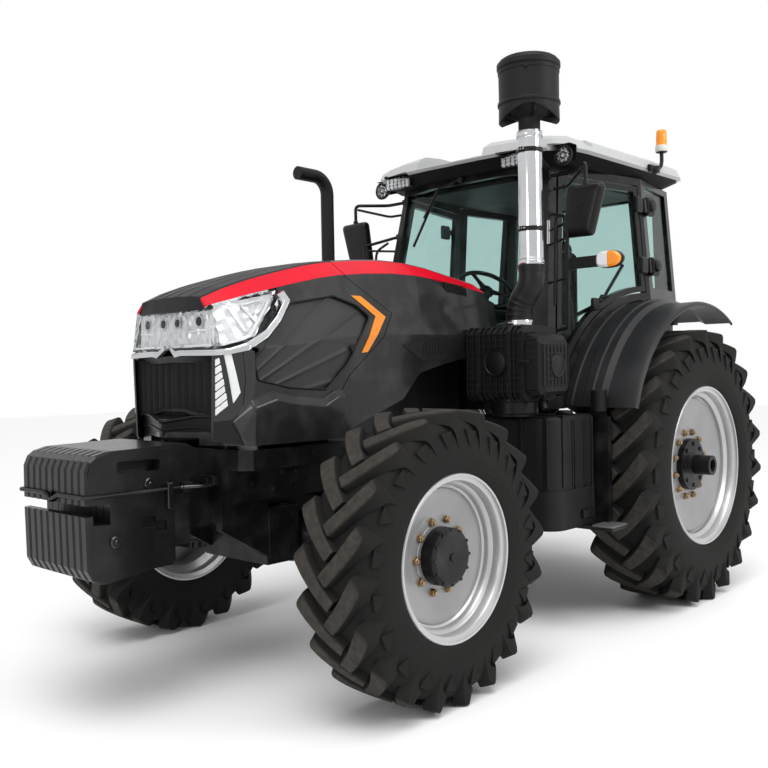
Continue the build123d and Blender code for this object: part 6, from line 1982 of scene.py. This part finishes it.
    def mirrors(self) -> None:
        """The mirrors with rounded backs, their arms, and the posts beside the doors."""
        outline = rounded(np.array([(795, 2302), (992, 2298), (1078, 2600), (840, 2605)]) * MM, 0.030, 8)
        rings = []
        for x, share in ((926, 0.90), (930, 0.975), (940, 1.0), (955, 1.0), (968, 0.985), (978, 0.95),
                         (986, 0.885), (991, 0.78), (993, 0.62)):
            middle = np.array([0.926, 2.452])
            rings.append([(rx(x), y, z) for y, z in middle + (outline - middle) * share])
        head = lofted(np.array(rings))
        ribs = [slab((988, 995), (y, y + 22), (z, z + 14), 5, Axis.X, 2)
                for y, z in ((905, 2470), (896, 2432))]
        add("mirror heads", joined([head] + ribs).both_sides(), "chassis", "trim", sharp=50)
        top = cab_row(2728)
        foot_x, foot_y = top[0] - 20, door_y(top[0] - 20, 2728) + 8
        arm = tube(line((foot_x, foot_y, 2728), (foot_x, 770, 2728), (955, 950, 2732), (955, 950, 2590)),
                   0.0115, 0.035)
        brace = tube(line((foot_x + 16, foot_y + 20, 2640), (foot_x + 20, 740, 2640), (955, 930, 2700)),
                     0.009, 0.03)
        side = [tube(line((cab_row(z)[0] - 16, door_y(cab_row(z)[0] - 20, z) + 6, z),
                          (985, 838, z - 60 * s)), 0.0105, 0.02)
                for z, s in ((2480, 1), (1740, -0.4))]
        post = tube(line((985, 838, 2430), (985, 838, 1750)), 0.0115, 0.02)
        inner = tube(line((cab_row(2400)[0] + 8, 700, 2440), (960, 742, 2380), (1010, 760, 1900)), 0.009,
                     0.04)
        joint = cylinder(Axis.Z, at(955, 950, 2590), 0.018, 0.0, 0.03, 20, 0.004)
        add("mirror arms", joined([arm, brace, post, joint, inner] + side).both_sides(), "chassis", "trim",
            ("mirrors",))
        glass = lofted(np.array([line((925.5, 812, 2322), (925.5, 978, 2318), (925.5, 1056, 2582),
                                      (925.5, 856, 2586)),
                                 line((922.5, 815, 2325), (922.5, 975, 2321), (922.5, 1053, 2579),
                                      (922.5, 859, 2583))]))
        add("mirror faces", glass.both_sides(), "chassis", "mirror")

    def tank(self) -> None:
        """Straps, welds, cap and the steps' treads."""
        straps = [slab((1268, 1312), (985, 990), (846, 1246), 4, Axis.Y, 2),
                  slab((1268, 1312), (470, 990), (1249, 1255), 4, Axis.Z, 2)]
        straps += [slab((x - 7, x + 7), (984, 991), (842, 1226), 5, Axis.Y, 2.5) for x in (1080, 1180, 1204)]
        straps.append(slab((984, 1000), (984, 994), (620, 1236), 5, Axis.Y, 3))
        straps.append(slab((1000, 1130), (988, 1012), (652, 704), 10, Axis.Y, 5))
        straps.append(slab((1040, 1052), (1008, 1018), (668, 690), 3, Axis.Y, 1.5))
        straps += [slab((1396, 1405), (y - 16, y + 16), (846, 1240), 4, Axis.X, 2) for y in (520, 760, 930)]
        neck = turned_profile([(BORE, 1.251), (0.048, 1.251), (0.050, 1.256), (0.050, 1.268), (0.042, 1.276),
                               (BORE, 1.278)], Axis.Z, at(1150, 900, 0), 36)
        add("tank straps", joined(straps + [neck]).both_sides(), "chassis", "trim", bevel=0.001)
        teeth = [slab((x, x + 9), (1040, 1156), (604, 612), 2, Axis.Z, 1.5) for x in range(896, 1076, 22)]
        frame_bars = [slab((890, 1078), (y, y + 8), (600, 612), 2, Axis.Z, 1.5) for y in (1030, 1092, 1150)]
        add("step treads", joined(teeth + frame_bars).both_sides(), "chassis", "steel_dark")

    def build(self) -> None:
        """Adds every fitting."""
        self.lamps()
        self.beacon()
        self.mirrors()
        self.tank()


@dataclass
class Fenders:
    """The rear fenders, with stepped ridges along their backs and a rolled outer lip."""

    centre: tuple[float, float] = (-60.0, 930.0)
    radius: float = 1045.0

    def build(self) -> None:
        """Turns the section through the CAD fender's span and adds it in its place."""
        r = self.radius
        top = [(600, 746), (r - 14, 746), (r - 3, 752), (r, 764), (r, 806), (r - 9, 812), (r - 9, 872),
               (r - 1, 878), (r - 1, 930), (r - 10, 937), (r - 12, 986), (1020, 1006), (1010, 1020),
               (1008, 1090), (1010, 1196), (1004, 1212), (990, 1220), (982, 1219), (976, 1212)]
        low = [(985, 1204), (996, 1196), (997, 1024), (1006, 1010), (r - 26, 984), (r - 26, 760), (600, 758)]
        outline = np.array(top + low)
        angles = np.radians(np.linspace(20.5, 118.0, 70))
        rings = np.stack([np.stack([self.centre[0] + outline[:, 0] * math.cos(a), outline[:, 1],
                                    self.centre[1] + outline[:, 0] * math.sin(a)], axis=1)
                          for a in angles]) * MM
        rings[..., 0] += REAR_AXLE_X
        add("fenders", lofted(rings).both_sides(), "chassis", "fender", ("fenders",), bevel=0.0015, sharp=24)


# ------------------------------------------------------------ studio
@dataclass
class Studio:
    """Pale floor, soft lamps, plain background and the camera."""

    location: tuple[float, float, float] = (4.405, 3.734, 1.523)
    yaw: float = -2.396
    pitch: float = -0.0143
    roll: float = -0.0177
    lens: float = 42.89
    floor_z: float = -0.0005
    # each lamp: its name, place, aim, edge and power
    lamps: tuple[tuple[str, tuple[float, ...], tuple[float, ...], float, float], ...] = (
        ("key", (6.0, 4.0, 14.0), (0.4, 0.2, 1.2), 6.0, 420.0),
        ("side", (-2.0, 8.0, 4.5), (0, 0.6, 1.0), 3.0, 220.0),
        ("front", (9.0, 1.5, 3.2), (1.0, 0.3, 1.2), 2.0, 110.0))
    # strength of the world for each kind of ray, the first one standing for all that follow no other
    sky: tuple[tuple[str, float], ...] = (
        ("Is Diffuse Ray", 0.50), ("Is Glossy Ray", 1.0), ("Is Camera Ray", 1.0),
        ("Is Transmission Ray", 1.0))

    def camera(self) -> None:
        """Places the camera from its yaw, pitch and roll."""
        cy, sy, cp, sp = math.cos(self.yaw), math.sin(self.yaw), math.cos(self.pitch), math.sin(self.pitch)
        ahead = np.array([cy * cp, sy * cp, sp])
        right = np.cross(ahead, [0, 0, 1])
        right /= np.linalg.norm(right)
        up = np.cross(right, ahead)
        c, s = math.cos(self.roll), math.sin(self.roll)
        axes = np.eye(4)
        axes[:3, 0], axes[:3, 1], axes[:3, 2] = c * right + s * up, -s * right + c * up, -ahead
        axes[:3, 3] = self.location
        data = bpy.data.cameras.new("Camera")
        data.lens, data.sensor_width, data.dof.use_dof = self.lens, 36.0, False
        camera = bpy.data.objects.new("Camera", data)
        camera.matrix_world = Matrix(axes.tolist())
        bpy.context.scene.collection.objects.link(camera)
        bpy.context.scene.camera = camera

    def lamp(self, name: str, place: Sequence[float], aim: Sequence[float], size: float,
             power: float) -> None:
        """One soft square lamp.

        Args:
            name: its name.
            place: where it hangs.
            aim: the point that it faces.
            size: edge of the square.
            power: its power in watts.
        """
        data = bpy.data.lights.new(name, "AREA")
        data.shape, data.size, data.energy = "SQUARE", size, power
        lamp = bpy.data.objects.new(name, data)
        away = np.asarray(place, float) - np.asarray(aim, float)
        away /= np.linalg.norm(away)
        side = np.cross([0, 0, 1], away)
        side /= max(np.linalg.norm(side), 1e-6)
        axes = np.eye(4)
        axes[:3, 0], axes[:3, 1], axes[:3, 2], axes[:3, 3] = side, np.cross(away, side), away, place
        lamp.matrix_world = Matrix(axes.tolist())
        bpy.context.scene.collection.objects.link(lamp)

    def sun(self, towards: Sequence[float], power: float, spread: float) -> None:
        """A broad sun, so soft that its shadows fade out.

        Args:
            towards: the direction that it stands in.
            power: its strength in watts a square metre.
            spread: the angle that it fills, in radians.
        """
        data = bpy.data.lights.new("sun", "SUN")
        data.energy, data.angle = power, spread
        sun = bpy.data.objects.new("sun", data)
        sun.rotation_euler = Vector(towards).to_track_quat("Z", "Y").to_euler()
        bpy.context.scene.collection.objects.link(sun)

    def floor(self) -> None:
        """A pale flat floor, just under the wheels so that it never cuts them."""
        reach = np.linspace(-30, 30, 61)
        x, y = np.meshgrid(reach, reach, indexing="ij")
        shape = grid(np.stack([x, y, np.full_like(x, self.floor_z)], axis=-1))
        mesh = bpy.data.meshes.new("floor")
        mesh.from_pydata(shape.points.tolist(), [], shape.faces[0].tolist())
        graph = Graph("floor pale")
        tone = graph.mix(graph.noise(0.6, 2.0), (0.92, 0.92, 0.92, 1), (0.94, 0.94, 0.94, 1))
        mesh.materials.append(graph.settle(Base_Color=tone, Roughness=0.6))
        floor = bpy.data.objects.new("floor", mesh)
        bpy.context.scene.collection.objects.link(floor)

    def world(self) -> None:
        """Even soft light, and plain white for the camera, glass and metal that look past everything."""
        world = bpy.data.worlds.new("studio")
        bpy.context.scene.world = world
        world.use_nodes = True
        tree = world.node_tree
        tree.nodes.clear()
        path = tree.nodes.new("ShaderNodeLightPath")
        shade = None
        for ray, strength in self.sky:
            light = tree.nodes.new("ShaderNodeBackground")
            light.inputs["Color"].default_value, light.inputs["Strength"].default_value = (1, 1, 1,
                                                                                           1), strength
            if shade is None:
                shade = light.outputs[0]
                continue
            mixed = tree.nodes.new("ShaderNodeMixShader")
            tree.links.new(path.outputs[ray], mixed.inputs[0])
            tree.links.new(shade, mixed.inputs[1])
            tree.links.new(light.outputs[0], mixed.inputs[2])
            shade = mixed.outputs[0]
        output = tree.nodes.new("ShaderNodeOutputWorld")
        tree.links.new(shade, output.inputs["Surface"])

    def build(self) -> None:
        """Sets the whole stage."""
        self.camera()
        self.floor()
        self.world()
        self.sun((0.25, 0.30, 1.0), 1.55, 0.9)
        for lamp in self.lamps:
            self.lamp(*lamp)
        bpy.context.scene.view_settings.view_transform = "Standard"


# what each carried-over CAD node is made of, and the same for the nodes that each side has
CARRIED = {
    "engine_block": "casting", "gearbox": "casting", "front_frame": "chassis",
    "front_axle_beam": "casting", "front_weights": "casting", "weight_carrier": "chassis",
    "fuel_tanks": "plastic", "steps": "chassis", "hood_mount": "chassis", "air_cleaner": "plastic",
    "intake_pipe": "chrome", "precleaner": "plastic", "exhaust": "plastic", "cab_frame": "cab",
    "cab_glass": "glass", "roof": "roof", "fenders": "fender", "mirrors": "plastic", "lamps": "trim",
    "beacon": "plastic", "seat": "fabric", "controls": "plastic", "hitch": "chassis",
    "hood_shell": "hood", "hood_top": "plastic", "hood_stripes": "red", "side_mesh": "mesh",
    "marker_lamps": "orange", "headlights": "lens", "headlight_trim": "chrome", "grille": "trim",
    "hood_rear": "hood", "rear_stripes": "red", "steering_rod": "steel", "lower_links": "chassis",
    "lift_arms": "chassis", "lift_rods": "chassis",
}
PAIRED = {
    "door": "cab", "door_glass": "glass", "knuckle": "casting", "front_hub": "chassis",
    "rear_hub": "chassis", "front_tyre": "front_tyre", "rear_tyre": "rear_tyre", "front_rim": "rim",
    "rear_rim": "rim",
}


def main() -> None:
    """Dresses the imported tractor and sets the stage."""
    logging.basicConfig(level=logging.INFO)
    for node, finish in CARRIED.items():
        dress(node, finish)
    for node, finish in PAIRED.items():
        for side in Side:
            dress(f"{node}_{side.word}", finish)
    for part in (Wheels(), HoodDetail(), SidePanel(), Nose(), FrontEnd(), AirCleaner(), IntakePipe(), Cab(),
                 Seat(), Fittings(), Fenders()):
        part.build()
        LOG.info("%s done", type(part).__name__)
    Studio().build()


if __name__ == "__main__":
    main()
